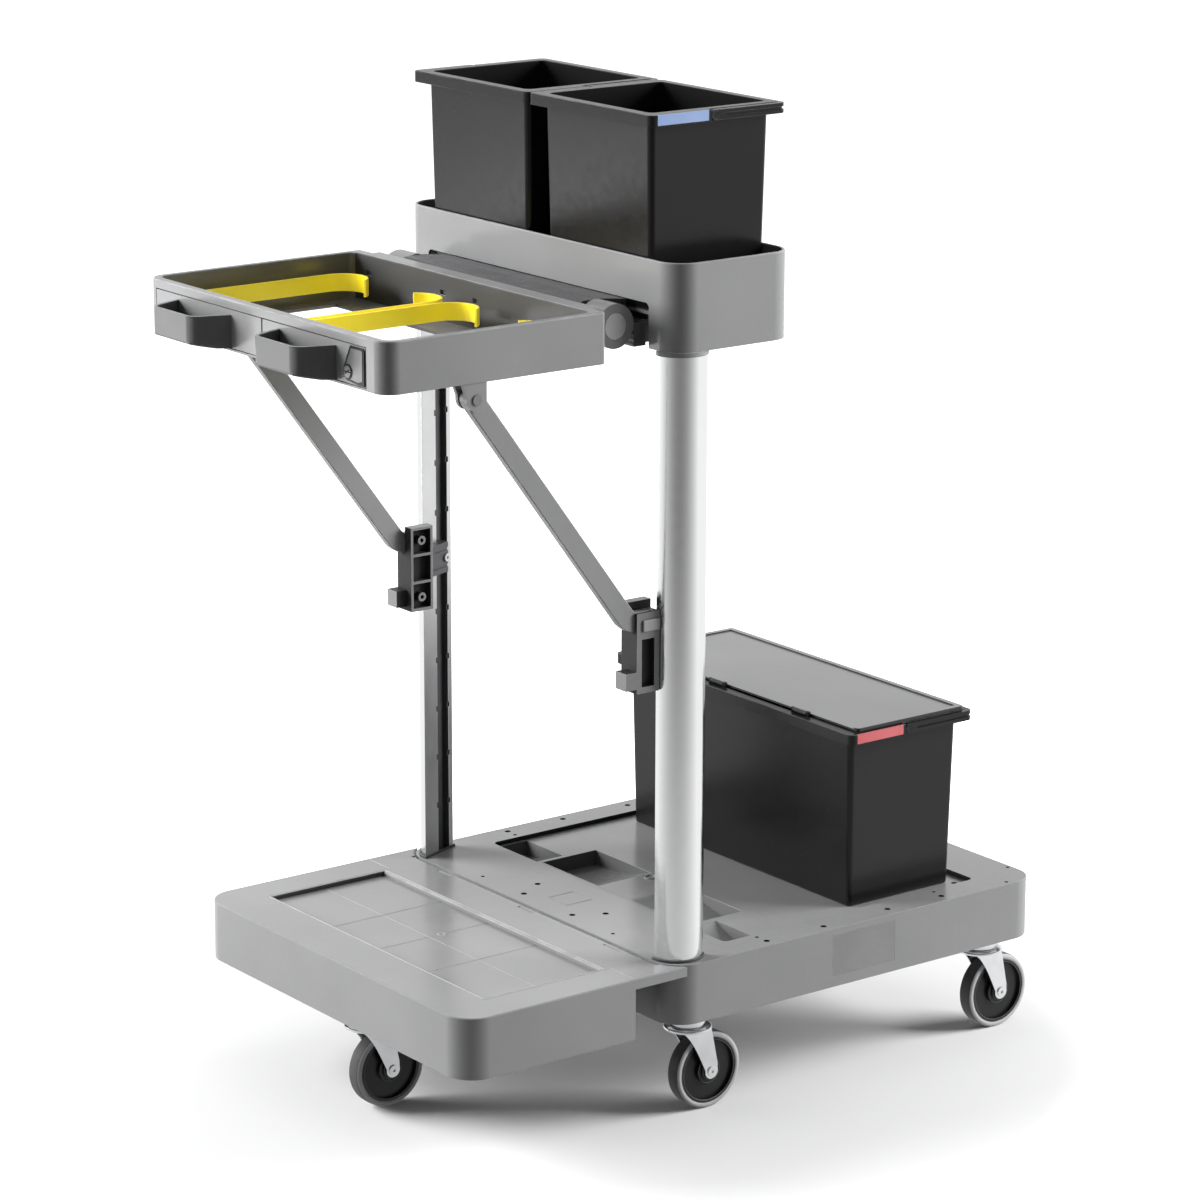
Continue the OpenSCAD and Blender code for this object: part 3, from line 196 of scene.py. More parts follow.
finishLook = {"fineMix": 0.25, "paintedShadeMix": 0.9, "paintedShadeTone": 0.012, "paintedShadeShine": 0.1, "roughBelow": 0.03,
              "roughAbove": 0.03, "metalAbove": 0.05, "markRough": 0.02, "metalMarks": 0.03,
              "bumpDepth": 0.2 * mm}


def plasticFinish(name, look):
    material, tree, shader, place = startMaterial(name)
    spots = useGroup(tree, mottle, Place=place, Size=look["mottleSize"])
    grain = useGroup(tree, mouldGrain, Place=place, Size=look["grainSize"])
    wornAndLit = useGroup(tree, edgeWearAndHighlight, Place=place)
    marks = useGroup(tree, scuffs, Place=place, Size=look["scuffSize"])
    # painted shade: a per-face attribute that darkens the colour towards a near-black tone
    paintedShade = addNode(tree, "ShaderNodeAttribute", attribute_name="paintedShade").outputs["Fac"]
    tone = mixColour(tree, spots.outputs["Broad"], (*look["dark"], 1), (*look["light"], 1))
    fine = mathNode(tree, "MULTIPLY", spots.outputs["Fine"], finishLook["fineMix"])
    tone = mixColour(tree, fine, tone, (*look["light"], 1))
    rubbedAndLit = mathNode(tree, "MULTIPLY", wornAndLit.outputs[0], look["wearAndHighlight"])
    tone = mixColour(tree, rubbedAndLit, tone, (*look["edge"], 1))
    scratched = mathNode(tree, "MULTIPLY", marks.outputs[0], look["scuff"])
    tone = mixColour(tree, scratched, tone, (*look["edge"], 1))
    shadeAmount = mathNode(tree, "MULTIPLY", paintedShade, finishLook["paintedShadeMix"])
    darkShade = finishLook["paintedShadeTone"]
    tone = mixColour(tree, shadeAmount, tone, (darkShade, darkShade, darkShade, 1))
    rough = spread(tree, spots.outputs["Fine"], 0.0, 1.0, look["roughness"] - finishLook["roughBelow"],
                   look["roughness"] + finishLook["roughAbove"])
    coarse = mathNode(tree, "MULTIPLY", marks.outputs[0], finishLook["markRough"])
    rough = mathNode(tree, "ADD", rough, coarse)
    # painted shade also damps the sheen
    shine = spread(tree, paintedShade, 0.0, 1.0, 1.0, finishLook["paintedShadeShine"])
    shine = mathNode(tree, "MULTIPLY", shine, look.get("specular", 0.5))
    bump = addNode(tree, "ShaderNodeBump")
    feed(tree, bump, Height=grain.outputs[0], Strength=look["grainDepth"], Distance=finishLook["bumpDepth"])
    if "wave" in look:  # slow unevenness of a large moulding
        swell = addNode(tree, "ShaderNodeBump")
        feed(tree, swell, Height=spots.outputs["Broad"], Strength=1.0, Distance=look["wave"])
        feed(tree, bump, Normal=swell.outputs[0])
    feed(tree, shader, **{"Base Color": tone, "Roughness": rough, "Normal": bump.outputs[0]})
    feed(tree, shader, **{"Specular IOR Level": shine, "IOR": 1.5})
    if "glow" in look:  # painted light: the band's own colour glows, lifting it out of the shade it sits in
        feed(tree, shader, **{"Emission Color": tone, "Emission Strength": look["glow"]})
    return material


def metalFinish(name, look):
    material, tree, shader, place = startMaterial(name)
    spots = useGroup(tree, mottle, Place=place, Size=look["mottleSize"])
    wornAndLit = useGroup(tree, edgeWearAndHighlight, Place=place)
    marks = useGroup(tree, scuffs, Place=place, Size=look["scuffSize"])
    tone = mixColour(tree, spots.outputs["Broad"], (*look["dark"], 1), (*look["light"], 1))
    rubbedAndLit = mathNode(tree, "MULTIPLY", wornAndLit.outputs[0], look["wearAndHighlight"])
    tone = mixColour(tree, rubbedAndLit, tone, (*look["edge"], 1))
    rough = spread(tree, spots.outputs["Fine"], 0.0, 1.0, look["roughness"] - finishLook["roughBelow"],
                   look["roughness"] + finishLook["metalAbove"])
    coarse = mathNode(tree, "MULTIPLY", marks.outputs[0], finishLook["metalMarks"])
    rough = mathNode(tree, "ADD", rough, coarse)
    bump = addNode(tree, "ShaderNodeBump")
    lines = useGroup(tree, drawnLines if look["drawn"] else mouldGrain, Place=place, Size=look["grainSize"])
    feed(tree, bump, Height=lines.outputs[0], Strength=look["grainDepth"], Distance=finishLook["bumpDepth"])
    feed(tree, shader, **{"Base Color": tone, "Roughness": rough, "Normal": bump.outputs[0], "Metallic": 1.0})
    return material


greyPlasticLook = {
    "dark": (0.19, 0.191, 0.193), "light": (0.222, 0.223, 0.225), "edge": (0.42, 0.42, 0.423), "wave": 0.0012,
    "roughness": 0.215, "mottleSize": 5.0, "grainSize": 1100.0, "grainDepth": 0.08, "wearAndHighlight": 0.5,
    "scuffSize": 12.0, "scuff": 0.03}
darkPlasticLook = {
    "dark": (0.04, 0.04, 0.042), "light": (0.056, 0.056, 0.059), "edge": (0.2, 0.2, 0.205),
    "roughness": 0.36, "mottleSize": 9.0, "grainSize": 1200.0, "grainDepth": 0.1, "wearAndHighlight": 0.5,
    "scuffSize": 16.0, "scuff": 0.03}
blackPlasticLook = {
    "dark": (0.006, 0.006, 0.0065), "light": (0.009, 0.009, 0.0095), "edge": (0.12, 0.12, 0.123),
    "roughness": 0.24, "mottleSize": 4.0, "grainSize": 1400.0, "grainDepth": 0.05, "wearAndHighlight": 0.6,
    "scuffSize": 10.0, "scuff": 0.02, "specular": 0.32}
bracketPlasticLook = {
    **darkPlasticLook, "dark": (0.14, 0.14, 0.142), "light": (0.18, 0.18, 0.183),
    "edge": (0.36, 0.36, 0.365), "mottleSize": 14.0}
capPlasticLook = {
    "dark": (0.24, 0.24, 0.245), "light": (0.28, 0.28, 0.285), "edge": (0.4, 0.4, 0.405),
    "roughness": 0.34, "mottleSize": 12.0, "grainSize": 1400.0, "grainDepth": 0.08, "wearAndHighlight": 0.4,
    "scuffSize": 20.0, "scuff": 0.03}
# the glow entry is painted light
yellowPlasticLook = {
    "dark": (0.9, 0.71, 0.022), "light": (0.96, 0.79, 0.03), "edge": (0.98, 0.86, 0.2), "glow": 0.22,
    "roughness": 0.36, "mottleSize": 10.0, "grainSize": 1400.0, "grainDepth": 0.08, "wearAndHighlight": 0.4,
    "scuffSize": 16.0, "scuff": 0.02}
blueLabelLook = {
    "dark": (0.196, 0.28, 0.48), "light": (0.24, 0.32, 0.52), "edge": (0.5, 0.62, 0.9),
    "roughness": 0.34, "mottleSize": 16.0, "grainSize": 1600.0, "grainDepth": 0.025, "wearAndHighlight": 0.5,
    "scuffSize": 22.0, "scuff": 0.02}
redLabelLook = {
    **blueLabelLook, "dark": (0.42, 0.085, 0.095), "light": (0.48, 0.112, 0.12), "edge": (0.8, 0.3, 0.3)}
hubPlasticLook = {
    "dark": (0.008, 0.008, 0.0085), "light": (0.013, 0.013, 0.0135), "edge": (0.16, 0.16, 0.162),
    "roughness": 0.33, "specular": 0.3, "mottleSize": 18.0, "grainSize": 1400.0, "grainDepth": 0.08,
    "wearAndHighlight": 0.7, "scuffSize": 22.0, "scuff": 0.03}
tyreRubberLook = {
    "dark": (0.33, 0.33, 0.333), "light": (0.39, 0.39, 0.393), "edge": (0.45, 0.45, 0.45),
    "roughness": 0.5, "mottleSize": 26.0, "grainSize": 700.0, "grainDepth": 0.08, "wearAndHighlight": 0.25,
    "scuffSize": 26.0, "scuff": 0.05, "specular": 0.4}
# darker copy of the tyre rubber for the tread: painted shade
shadedTreadRubberLook = {
    "dark": (0.045, 0.045, 0.047), "light": (0.07, 0.07, 0.072), "edge": (0.2, 0.2, 0.2),
    "roughness": 0.55, "mottleSize": 30.0, "grainSize": 500.0, "grainDepth": 0.12, "wearAndHighlight": 0.3,
    "scuffSize": 30.0, "scuff": 0.08, "specular": 0.35}
postAluminiumLook = {
    "dark": (0.88, 0.885, 0.89), "light": (0.93, 0.933, 0.936), "edge": (0.95, 0.95, 0.95),
    "roughness": 0.17, "mottleSize": 3.0, "grainSize": 420.0, "grainDepth": 0.05, "wearAndHighlight": 0.5,
    "scuffSize": 9.0, "drawn": True}
plateAluminiumLook = {
    "dark": (0.3, 0.3, 0.305), "light": (0.36, 0.36, 0.365), "edge": (0.55, 0.55, 0.55),
    "roughness": 0.42, "mottleSize": 9.0, "grainSize": 380.0, "grainDepth": 0.025, "wearAndHighlight": 0.5,
    "scuffSize": 14.0, "drawn": True}
# darker, rougher copy of the post metal for the flats; the darker colour is painted shade
shadedPostFlatLook = {
    **postAluminiumLook, "dark": (0.8, 0.805, 0.81), "light": (0.87, 0.873, 0.876), "roughness": 0.44}
zincSteelLook = {
    "dark": (0.72, 0.73, 0.745), "light": (0.84, 0.85, 0.86), "edge": (0.93, 0.93, 0.94),
    "roughness": 0.215, "mottleSize": 26.0, "grainSize": 900.0, "grainDepth": 0.05, "wearAndHighlight": 0.4,
    "scuffSize": 24.0, "drawn": False}

finishes = {
    "grey_plastic": plasticFinish("greyPlastic", greyPlasticLook),
    "dark_plastic": plasticFinish("darkPlastic", darkPlasticLook),
    "black_plastic": plasticFinish("blackPlastic", blackPlasticLook),
    "cap_plastic": plasticFinish("capPlastic", capPlasticLook),
    "yellow_plastic": plasticFinish("yellowPlastic", yellowPlasticLook),
    "blue_label": plasticFinish("blueLabel", blueLabelLook),
    "red_label": plasticFinish("redLabel", redLabelLook),
    "hub_plastic": plasticFinish("hubPlastic", hubPlasticLook),
    "tyre_rubber": plasticFinish("tyreRubber", tyreRubberLook),
    "post_aluminium": metalFinish("postAluminium", postAluminiumLook),
    "plate_aluminium": metalFinish("plateAluminium", plateAluminiumLook),
    "zinc_steel": metalFinish("zincSteel", zincSteelLook),
}
shadedTreadRubber = plasticFinish("shadedTreadRubber", shadedTreadRubberLook)
bracketPlastic = plasticFinish("bracketPlastic", bracketPlasticLook)
shadedPostFlat = metalFinish("shadedPostFlat", shadedPostFlatLook)
print("finishes made:", len(finishes) + 3)


# Small helpers for meshes

sharpAngle = 28.0


def newShape():
    shape = bmesh.new()
    shape.faces.layers.float.new("wearAndHighlight")
    # per-face painted shade level
    shape.faces.layers.float.new("paintedShade")
    return shape


def cadCopy(node):
    shape = newShape()
    shape.from_mesh(nodes[node].data)
    bmesh.ops.remove_doubles(shape, verts=shape.verts, dist=0.02 * mm)
    bmesh.ops.dissolve_limit(shape, angle_limit=radians(0.4), verts=shape.verts, edges=shape.edges,
                             delimit={"NORMAL"})
    return shape


def sharpEdges(shape, test=None, least=sharpAngle):
    picked = []
    for edge in shape.edges:
        if edge.is_manifold and edge.is_convex and edge.calc_face_angle(0.0) >= radians(least):
            if test is None or test(edge):
                picked.append(edge)
    return picked


def roundOver(shape, width, test=None, segments=2, least=sharpAngle, wearAndHighlight=1.0, shadeLevel=0.0):
    edges = sharpEdges(shape, test, least)
    if not edges:
        return shape
    made = bmesh.ops.bevel(shape, geom=edges, offset=width, offset_type="OFFSET", segments=segments,
                           profile=0.5, affect="EDGES", clamp_overlap=True, loop_slide=True)
    # the rounded faces get the wear-and-highlight mark and at least the given painted shade level
    wornAndLit, shadeAmount = shape.faces.layers.float["wearAndHighlight"], shape.faces.layers.float["paintedShade"]
    for face in made["faces"]:
        face[wornAndLit] = wearAndHighlight
        face[shadeAmount] = max(face[shadeAmount], shadeLevel)
    return shape


def atHeight(z, slack=0.2 * mm):
    return lambda edge: all(abs(v.co.z - z) < slack for v in edge.verts)


def outlineGap(x, y, low, high, corner):  # distance inside a plan with rounded corners
    alongX, alongY = min(x - low[0], high[0] - x), min(y - low[1], high[1] - y)
    if alongX < corner and alongY < corner:
        return corner - hypot(corner - alongX, corner - alongY)
    return min(alongX, alongY)


def onOutline(z, low, high, corner, slack=0.4 * mm):
    def test(edge):
        return all(abs(v.co.z - z) < slack and abs(outlineGap(v.co.x, v.co.y, low, high, corner)) < slack
                   for v in edge.verts)
    return test


def addPiece(name, shape, *materials, smoothAngle=38.0):
    mesh = bpy.data.meshes.new(name)
    shape.to_mesh(mesh)
    shape.free()
    piece = bpy.data.objects.new(name, mesh)
    scene.collection.objects.link(piece)
    for material in materials:
        mesh.materials.append(material)
    if "custom_normal" in mesh.attributes:
        mesh.attributes.remove(mesh.attributes["custom_normal"])
    mesh.shade_smooth()
    mesh.set_sharp_from_angle(angle=radians(smoothAngle))
    weighted = piece.modifiers.new("flatFaces", "WEIGHTED_NORMAL")
    weighted.keep_sharp = True
    return piece


def standFor(piece, *covered):
    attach(piece, bodyOf[covered[0]])
    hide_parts(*covered)
    return piece


def addTo(piece, node):  # a detail on a node that stays
    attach(piece, bodyOf[node])
    return piece


def dress(node, *rounds, paintedShade=None, finish=None, prepare=None):
    shape = cadCopy(node)
    if prepare:
        prepare(shape)
    # painted shade per face, from the given function
    if paintedShade:
        shadeAmount = shape.faces.layers.float["paintedShade"]
        for face in shape.faces:
            face[shadeAmount] = paintedShade(face)
    for width, segments, test, *marks in rounds:  # width in millimetres, marks are wear-and-highlight and painted shade
        roundOver(shape, width * mm, test, segments, sharpAngle, *marks)
    return standFor(addPiece(node + "_moulded", shape, finish or finishes[slotOf[node]]), node)


def ringWall(shape, outline, segments, place, axis="Z"):  # closed outline turned about an axis through place
    rows = []
    for i in range(segments):
        turn = 2 * pi * i / segments
        row = []
        for radius, along in outline:
            if axis == "Z":
                spot = (radius * cos(turn), radius * sin(turn), along)
            else:
                spot = (along, radius * cos(turn), radius * sin(turn))
            row.append(shape.verts.new(Vector(place) + Vector(spot)))
        rows.append(row)
    faces = []
    for i in range(segments):
        here, following = rows[i], rows[(i + 1) % segments]
        for j in range(len(outline)):
            k = (j + 1) % len(outline)
            faces.append(shape.faces.new((here[j], following[j], following[k], here[k])))
    bmesh.ops.recalc_face_normals(shape, faces=faces)
    return faces


def slabOf(shape, spots, lift):  # flat outline given thickness by lift
    low = [shape.verts.new(spot) for spot in spots]
    high = [shape.verts.new(Vector(spot) + Vector(lift)) for spot in spots]
    faces = [shape.faces.new(low), shape.faces.new(high[::-1])]
    for i in range(len(spots)):
        k = (i + 1) % len(spots)
        faces.append(shape.faces.new((low[i], high[i], high[k], low[k])))
    bmesh.ops.recalc_face_normals(shape, faces=faces)
    return faces


def makeRepeat():  # a pattern set down at even steps
    tree = bpy.data.node_groups.new("repeatAlong", "GeometryNodeTree")
    for name, kind in [("Pattern", "NodeSocketObject"), ("Count", "NodeSocketInt"),
                       ("Start", "NodeSocketVector"), ("Step", "NodeSocketVector"),
                       ("Finish", "NodeSocketMaterial")]:
        tree.interface.new_socket(name=name, in_out="INPUT", socket_type=kind)
    tree.interface.new_socket(name="Geometry", in_out="OUTPUT", socket_type="NodeSocketGeometry")
    enter, leave = tree.nodes.new("NodeGroupInput"), tree.nodes.new("NodeGroupOutput")
    line = feed(tree, addNode(tree, "GeometryNodeMeshLine"), **{
        "Count": enter.outputs["Count"], "Start Location": enter.outputs["Start"],
        "Offset": enter.outputs["Step"]})
    source = feed(tree, addNode(tree, "GeometryNodeObjectInfo"), Object=enter.outputs["Pattern"])
    laid = feed(tree, addNode(tree, "GeometryNodeInstanceOnPoints"), Points=line.outputs[0],
                Instance=source.outputs["Geometry"])
    solid = feed(tree, addNode(tree, "GeometryNodeRealizeInstances"), i0=laid.outputs[0])
    dressed = feed(tree, addNode(tree, "GeometryNodeSetMaterial"), Geometry=solid.outputs[0],
                   Material=enter.outputs["Finish"])
    tree.links.new(dressed.outputs[0], leave.inputs[0])
    return tree


repeatAlong = makeRepeat()


def repeated(name, shape, count, start, step, node):
    pattern = addPiece(name + "Pattern", shape, finishes[slotOf[node]])
    host = bpy.data.objects.new(name + "Host", bpy.data.meshes.new(name + "Host"))
    scene.collection.objects.link(host)
    modifier = host.modifiers.new("repeat", "NODES")
    modifier.node_group = repeatAlong
    values = {"Pattern": pattern, "Count": count, "Start": start, "Step": step,
              "Finish": finishes[slotOf[node]]}
    for socket in repeatAlong.interface.items_tree:
        if socket.in_out == "INPUT":
            modifier[socket.identifier] = values[socket.name]
    graph = bpy.context.evaluated_depsgraph_get()
    mesh = bpy.data.meshes.new_from_object(host.evaluated_get(graph), depsgraph=graph)
    mesh.name = name
    for helper in (host, pattern):
        bpy.data.objects.remove(helper)
    piece = bpy.data.objects.new(name, mesh)
    scene.collection.objects.link(piece)
    return addTo(piece, node)


# Deck and fold platform

deckLow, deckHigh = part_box("deck")
deckTop = deckHigh.z
deckLook = {"corner": 38 * mm, "front": -90.4 * mm, "recess": 6 * mm, "recessX": 247 * mm,
            "recessFront": 20 * mm, "recessRear": 436 * mm, "scoopRear": 128 * mm, "scoopLow": 178 * mm,
            "scoopDepth": 26 * mm, "wallLow": 205 * mm, "holeLow": 190 * mm, "scoopStrips": 14}
# painted shade levels for the deck's holes, recess walls and scoops
deckShade = {"hole": 1.0, "scoop": 0.55, "wall": 1.0, "lowWall": 0.6, "end": 0.4}
deckHoles = [(275, 66.6, 4), (275, 158.6, 4), (272, 266.6, 4), (274, 355.6, 4), (231, 415.6, 4),
             (73, -31.4, 4), (52, -68.4, 4), (257, 65.6, 2.5), (256, 358.6, 2.5), (282, 460.6, 2.5),
             (238, 502.6, 2.5), (140, -70.4, 2.5)]  # millimetres from the middle, along the deck, and radius
scoopSpans = [(34 * mm, 155 * mm), (162 * mm, 242 * mm)]
recessFloor = deckTop - deckLook["recess"]
skim = 0.3 * mm


def onHole(spot, slack=0.4 * mm):
    return any(abs(hypot(abs(spot.x) - x * mm, spot.y - y * mm) - r * mm) < slack for x, y, r in deckHoles)


def scoopFloor(face):
    spot = face.calc_center_median()
    along = deckLook["recessFront"] < spot.y < deckLook["scoopRear"]
    return face.normal.z > 0.5 and spot.z < recessFloor - skim and along


def cutScoops(shape):  # strips across the scoop floors, so the painted shade can fade along them
    strips = deckLook["scoopStrips"]
    for inner, outer in scoopSpans:
        cuts = [inner + (outer - inner) * i / strips for i in range(1, strips)]
        for x in [side * cut for side in (-1, 1) for cut in cuts]:
            floor = [face for face in shape.faces if scoopFloor(face)]
            edges = list(dict.fromkeys(edge for face in floor for edge in face.edges))
            verts = list(dict.fromkeys(vert for face in floor for vert in face.verts))
            bmesh.ops.bisect_plane(shape, geom=verts + edges + floor, plane_co=(x, 0, 0), plane_no=(1, 0, 0))


def deckPaintedShade(face):  # painted shade in the holes, on the recess walls and down the scoops
    spot = face.calc_center_median()
    if abs(face.normal.z) < 0.2 and spot.z > deckLook["holeLow"] and onHole(spot, 0.6 * mm):
        return deckShade["hole"]
    across = abs(spot.x) < deckLook["recessX"] + 0.5 * mm
    along = deckLook["recessFront"] < spot.y < deckLook["recessRear"]
    if not across or not along or not deckLook["scoopLow"] < spot.z < deckTop - skim:
        return 0.0
    if scoopFloor(face):
        return deckShade["scoop"] * (recessFloor - spot.z) / deckLook["scoopDepth"]
    if abs(face.normal.x) > 0.8:
        return deckShade["wall"] if spot.z > deckLook["wallLow"] else deckShade["lowWall"]
    return deckShade["end"] if abs(face.normal.z) < 0.2 else 0.0


deckOutline = ((deckLow.x, deckLook["front"]), (deckHigh.x, deckHigh.y), deckLook["corner"])
deckRim, deckFoot = onOutline(deckTop, *deckOutline), onOutline(deckLow.z, *deckOutline)


def deckFront(edge):
    return deckRim(edge) and all(v.co.y < deckLook["front"] + 0.4 * mm for v in edge.verts)


def holeRim(edge):
    return atHeight(deckTop)(edge) and all(onHole(v.co) for v in edge.verts)


# painted shade: the hole rims take it in full and the front rounding a little
dress("deck", (7, 5, lambda edge: deckRim(edge) and not deckFront(edge), 0.2), (2.5, 3, deckFront, 0.0, 0.25),
      (1.5, 2, deckFoot, 0.3), (1.4, 1, holeRim, 0.0, 1.0), (0.6, 1, atHeight(deckTop)),
      (0.6, 1, atHeight(recessFloor)), paintedShade=deckPaintedShade, prepare=cutScoops)

platformLow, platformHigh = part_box("fold_platform")
platformLook = {"corner": 38 * mm, "panelX": 234 * mm, "panelFront": -333.4 * mm, "panelRear": -161.4 * mm,
                "panelLow": 205 * mm, "nearPanel": 0.5 * mm, "rimReach": 1.5 * mm, "pastRear": 200 * mm}


def overPanel(spot, slack):
    along = platformLook["panelFront"] - slack < spot.y < platformLook["panelRear"] + slack
    return abs(spot.x) < platformLook["panelX"] + slack and along


# painted shade on the panel's walls that face +X
def platformPaintedShade(face):
    spot = face.calc_center_median()
    inPanel = overPanel(spot, platformLook["nearPanel"]) and spot.z > platformLook["panelLow"]
    return 1.0 if inPanel and face.normal.x > 0.9 else 0.0


platformEnd = (platformHigh.x, platformHigh.y + platformLook["pastRear"])  # leaves the rear edge out
platformRim = onOutline(deckTop, (platformLow.x, platformLow.y), platformEnd, platformLook["corner"])
platformFoot = onOutline(platformLow.z, (platformLow.x, platformLow.y), platformEnd, platformLook["corner"])


def panelEdge(edge):
    return atHeight(deckTop)(edge) and all(overPanel(v.co, platformLook["rimReach"]) for v in edge.verts)


# the panel's rounding takes the wear-and-highlight mark, which paints the light line along its edge as a
# highlight
dress("fold_platform", (2.5, 3, panelEdge, 0.8), (7, 5, platformRim, 0.0), (1.5, 2, platformFoot, 0.2),
      (1.2, 2, atHeight(deckTop), 0.4), paintedShade=platformPaintedShade)

lineLook = {"width": 1.5 * mm, "height": 0.4 * mm, "panelFloor": 206 * mm, "alongY": -252 * mm,
            "alongHalf": 232 * mm, "crossPitch": 104 * mm, "crossCount": 3, "crossGap": 1 * mm,
            "tickX": (240 * mm, 284 * mm), "tickY": (-150.2 * mm, -148.6 * mm), "ringBehind": 18 * mm,
            "ringSteps": 32}
ringOutline = [(3.2 * mm, 0), (6 * mm, 0), (5.6 * mm, 0.5 * mm), (3.6 * mm, 0.5 * mm)]


def ridge(shape, x0, x1, y0, y1, z, look=lineLook):
    soft = 0.4 * look["width"]
    low = [(x0, y0, z), (x1, y0, z), (x1, y1, z), (x0, y1, z)]
    wide, deep = (soft if x1 - x0 < 2 * look["width"] else 0), (soft if y1 - y0 < 2 * look["width"] else 0)
    top = z + look["height"]
    high = [(x0 + wide, y0 + deep, top), (x1 - wide, y0 + deep, top), (x1 - wide, y1 - deep, top),
            (x0 + wide, y1 - deep, top)]
    lowVerts, highVerts = [shape.verts.new(p) for p in low], [shape.verts.new(p) for p in high]
    faces = [shape.faces.new(highVerts), shape.faces.new(lowVerts[::-1])]
    for i in range(4):
        k = (i + 1) % 4
        faces.append(shape.faces.new((lowVerts[i], lowVerts[k], highVerts[k], highVerts[i])))
    bmesh.ops.recalc_face_normals(shape, faces=faces)


panelCross = newShape()
half = lineLook["width"] / 2
ridge(panelCross, -half, half, platformLook["panelFront"] + lineLook["crossGap"],
      platformLook["panelRear"] - lineLook["crossGap"], 0)
crossStart = (-lineLook["crossPitch"], 0, lineLook["panelFloor"])
repeated("panel_cross_lines", panelCross, lineLook["crossCount"], crossStart, (lineLook["crossPitch"], 0, 0),
         "fold_platform")
panelLines = newShape()
ridge(panelLines, -lineLook["alongHalf"], lineLook["alongHalf"], lineLook["alongY"] - half,
      lineLook["alongY"] + half, lineLook["panelFloor"])
for side in (-1, 1):
    inner, outer = sorted(side * x for x in lineLook["tickX"])
    ridge(panelLines, inner, outer, *lineLook["tickY"], deckTop)
ringPlace = (0, lineLook["alongY"] + lineLook["ringBehind"], lineLook["panelFloor"])
ringWall(panelLines, ringOutline, lineLook["ringSteps"], ringPlace)
lipLook = {"width": 2.2 * mm, "height": 0.7 * mm, "away": 2.6 * mm}
front, rear = platformLook["panelFront"] - lipLook["away"], platformLook["panelRear"] + lipLook["away"]
wide = platformLook["panelX"] + lipLook["away"]
for y0, y1 in ((front - lipLook["width"], front), (rear, rear + lipLook["width"])):
    ridge(panelLines, -wide, wide, y0, y1, deckTop, lipLook)
for x0 in (-wide - lipLook["width"], wide):
    ridge(panelLines, x0, x0 + lipLook["width"], front - lipLook["width"], rear + lipLook["width"], deckTop,
          lipLook)
# painted highlight: the raised lines, ring and lips are painted paler all over
for face in panelLines.faces:
    face[panelLines.faces.layers.float["wearAndHighlight"]] = 2.0
addTo(addPiece("panel_lines", panelLines, finishes["grey_plastic"]), "fold_platform")

lugLook = {"axisY": -99.4 * mm, "axisZ": 204 * mm, "pitch": 180 * mm, "count": 3, "half": 15.2 * mm}
lugFront = newShape()
lugSide = [(-11.95, 8), (-5.8, 8), (-5.8, 6.1), (-7.4, 4), (-8.4, 0), (-8.4, -5), (-11.95, -5)]
slabOf(lugFront, [(-lugLook["half"], y * mm, z * mm) for y, z in lugSide], (2 * lugLook["half"], 0, 0))
repeated("hinge_fillers", lugFront, lugLook["count"], (-lugLook["pitch"], lugLook["axisY"], lugLook["axisZ"]),
         (lugLook["pitch"], 0, 0), "fold_platform")

deckMarks = newShape()
markLook = {"ring": (-21 * mm, 112.6 * mm), "ringSteps": 48,
            "square": (-21 * mm, 18 * mm, -52.4 * mm, -12.4 * mm)}
bossOutline = [(5.5 * mm, 0), (9 * mm, 0), (8.4 * mm, 1.6 * mm), (6.1 * mm, 1.6 * mm)]
ringWall(deckMarks, bossOutline, markLook["ringSteps"], (*markLook["ring"], recessFloor))
x0, x1, y0, y1 = markLook["square"]
for y in (y0, y1):
    ridge(deckMarks, x0, x1, y - half, y + half, deckTop)
for x in (x0, x1):
    ridge(deckMarks, x - half, x + half, y0 + half, y1 - half, deckTop)
addTo(addPiece("deck_marks", deckMarks, finishes["grey_plastic"]), "deck")
print("deck and platform dressed")


# Posts, tray, frame and struts

trayLow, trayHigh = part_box("tray")
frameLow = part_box("bag_frame")[0]
dress("tray", (1.7, 3, atHeight(trayHigh.z), 0.5), (1.0, 2, atHeight(trayLow.z), 0.3), (0.5, 1, None, 0.4))
frameLook = {"innerX": 252 * mm, "front": -478 * mm, "rear": -176 * mm, "middle": -328 * mm, "top": 1030 * mm,
             "axisY": -134.9 * mm, "axisZ": 1003.5 * mm, "drum": 30 * mm, "sideShade": 0.05, "endShade": 0.8,
             "drumDark": 0.45}


def framePaintedShade(face):  # painted shade on the frame's inner walls, and darker end faces on the hinge drums
    spot = face.calc_center_median()
    inside = abs(spot.x) < frameLook["innerX"] and frameLook["front"] < spot.y < frameLook["rear"]
    if inside and abs(face.normal.z) < 0.5:
        if spot.x * face.normal.x + (spot.y - frameLook["middle"]) * face.normal.y < 0:
            return frameLook["sideShade"] if abs(face.normal.x) > 0.7 else frameLook["endShade"]
    drum = hypot(spot.y - frameLook["axisY"], spot.z - frameLook["axisZ"]) < frameLook["drum"]
    return frameLook["drumDark"] if abs(face.normal.x) > 0.9 and drum else 0.0


bracketLook = {"pocket": 3 * mm, "darkShade": 0.95}


def pocketPaintedShade(node, look):  # painted shade on the faces that lie deep within the node's box
    low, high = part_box(node)

    def darkShade(face):
        spot = face.calc_center_median()
        depth = min(min(spot[i] - low[i], high[i] - spot[i]) for i in range(3))
        return look["darkShade"] if depth > look["pocket"] else 0.0
    return darkShade


handleLook = {"grip": -490 * mm, "nose": -505 * mm, "tall": 8 * mm, "floor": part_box("front_left")[0].z,
              "footRise": 6.5 * mm, "darkShade": 0.52}


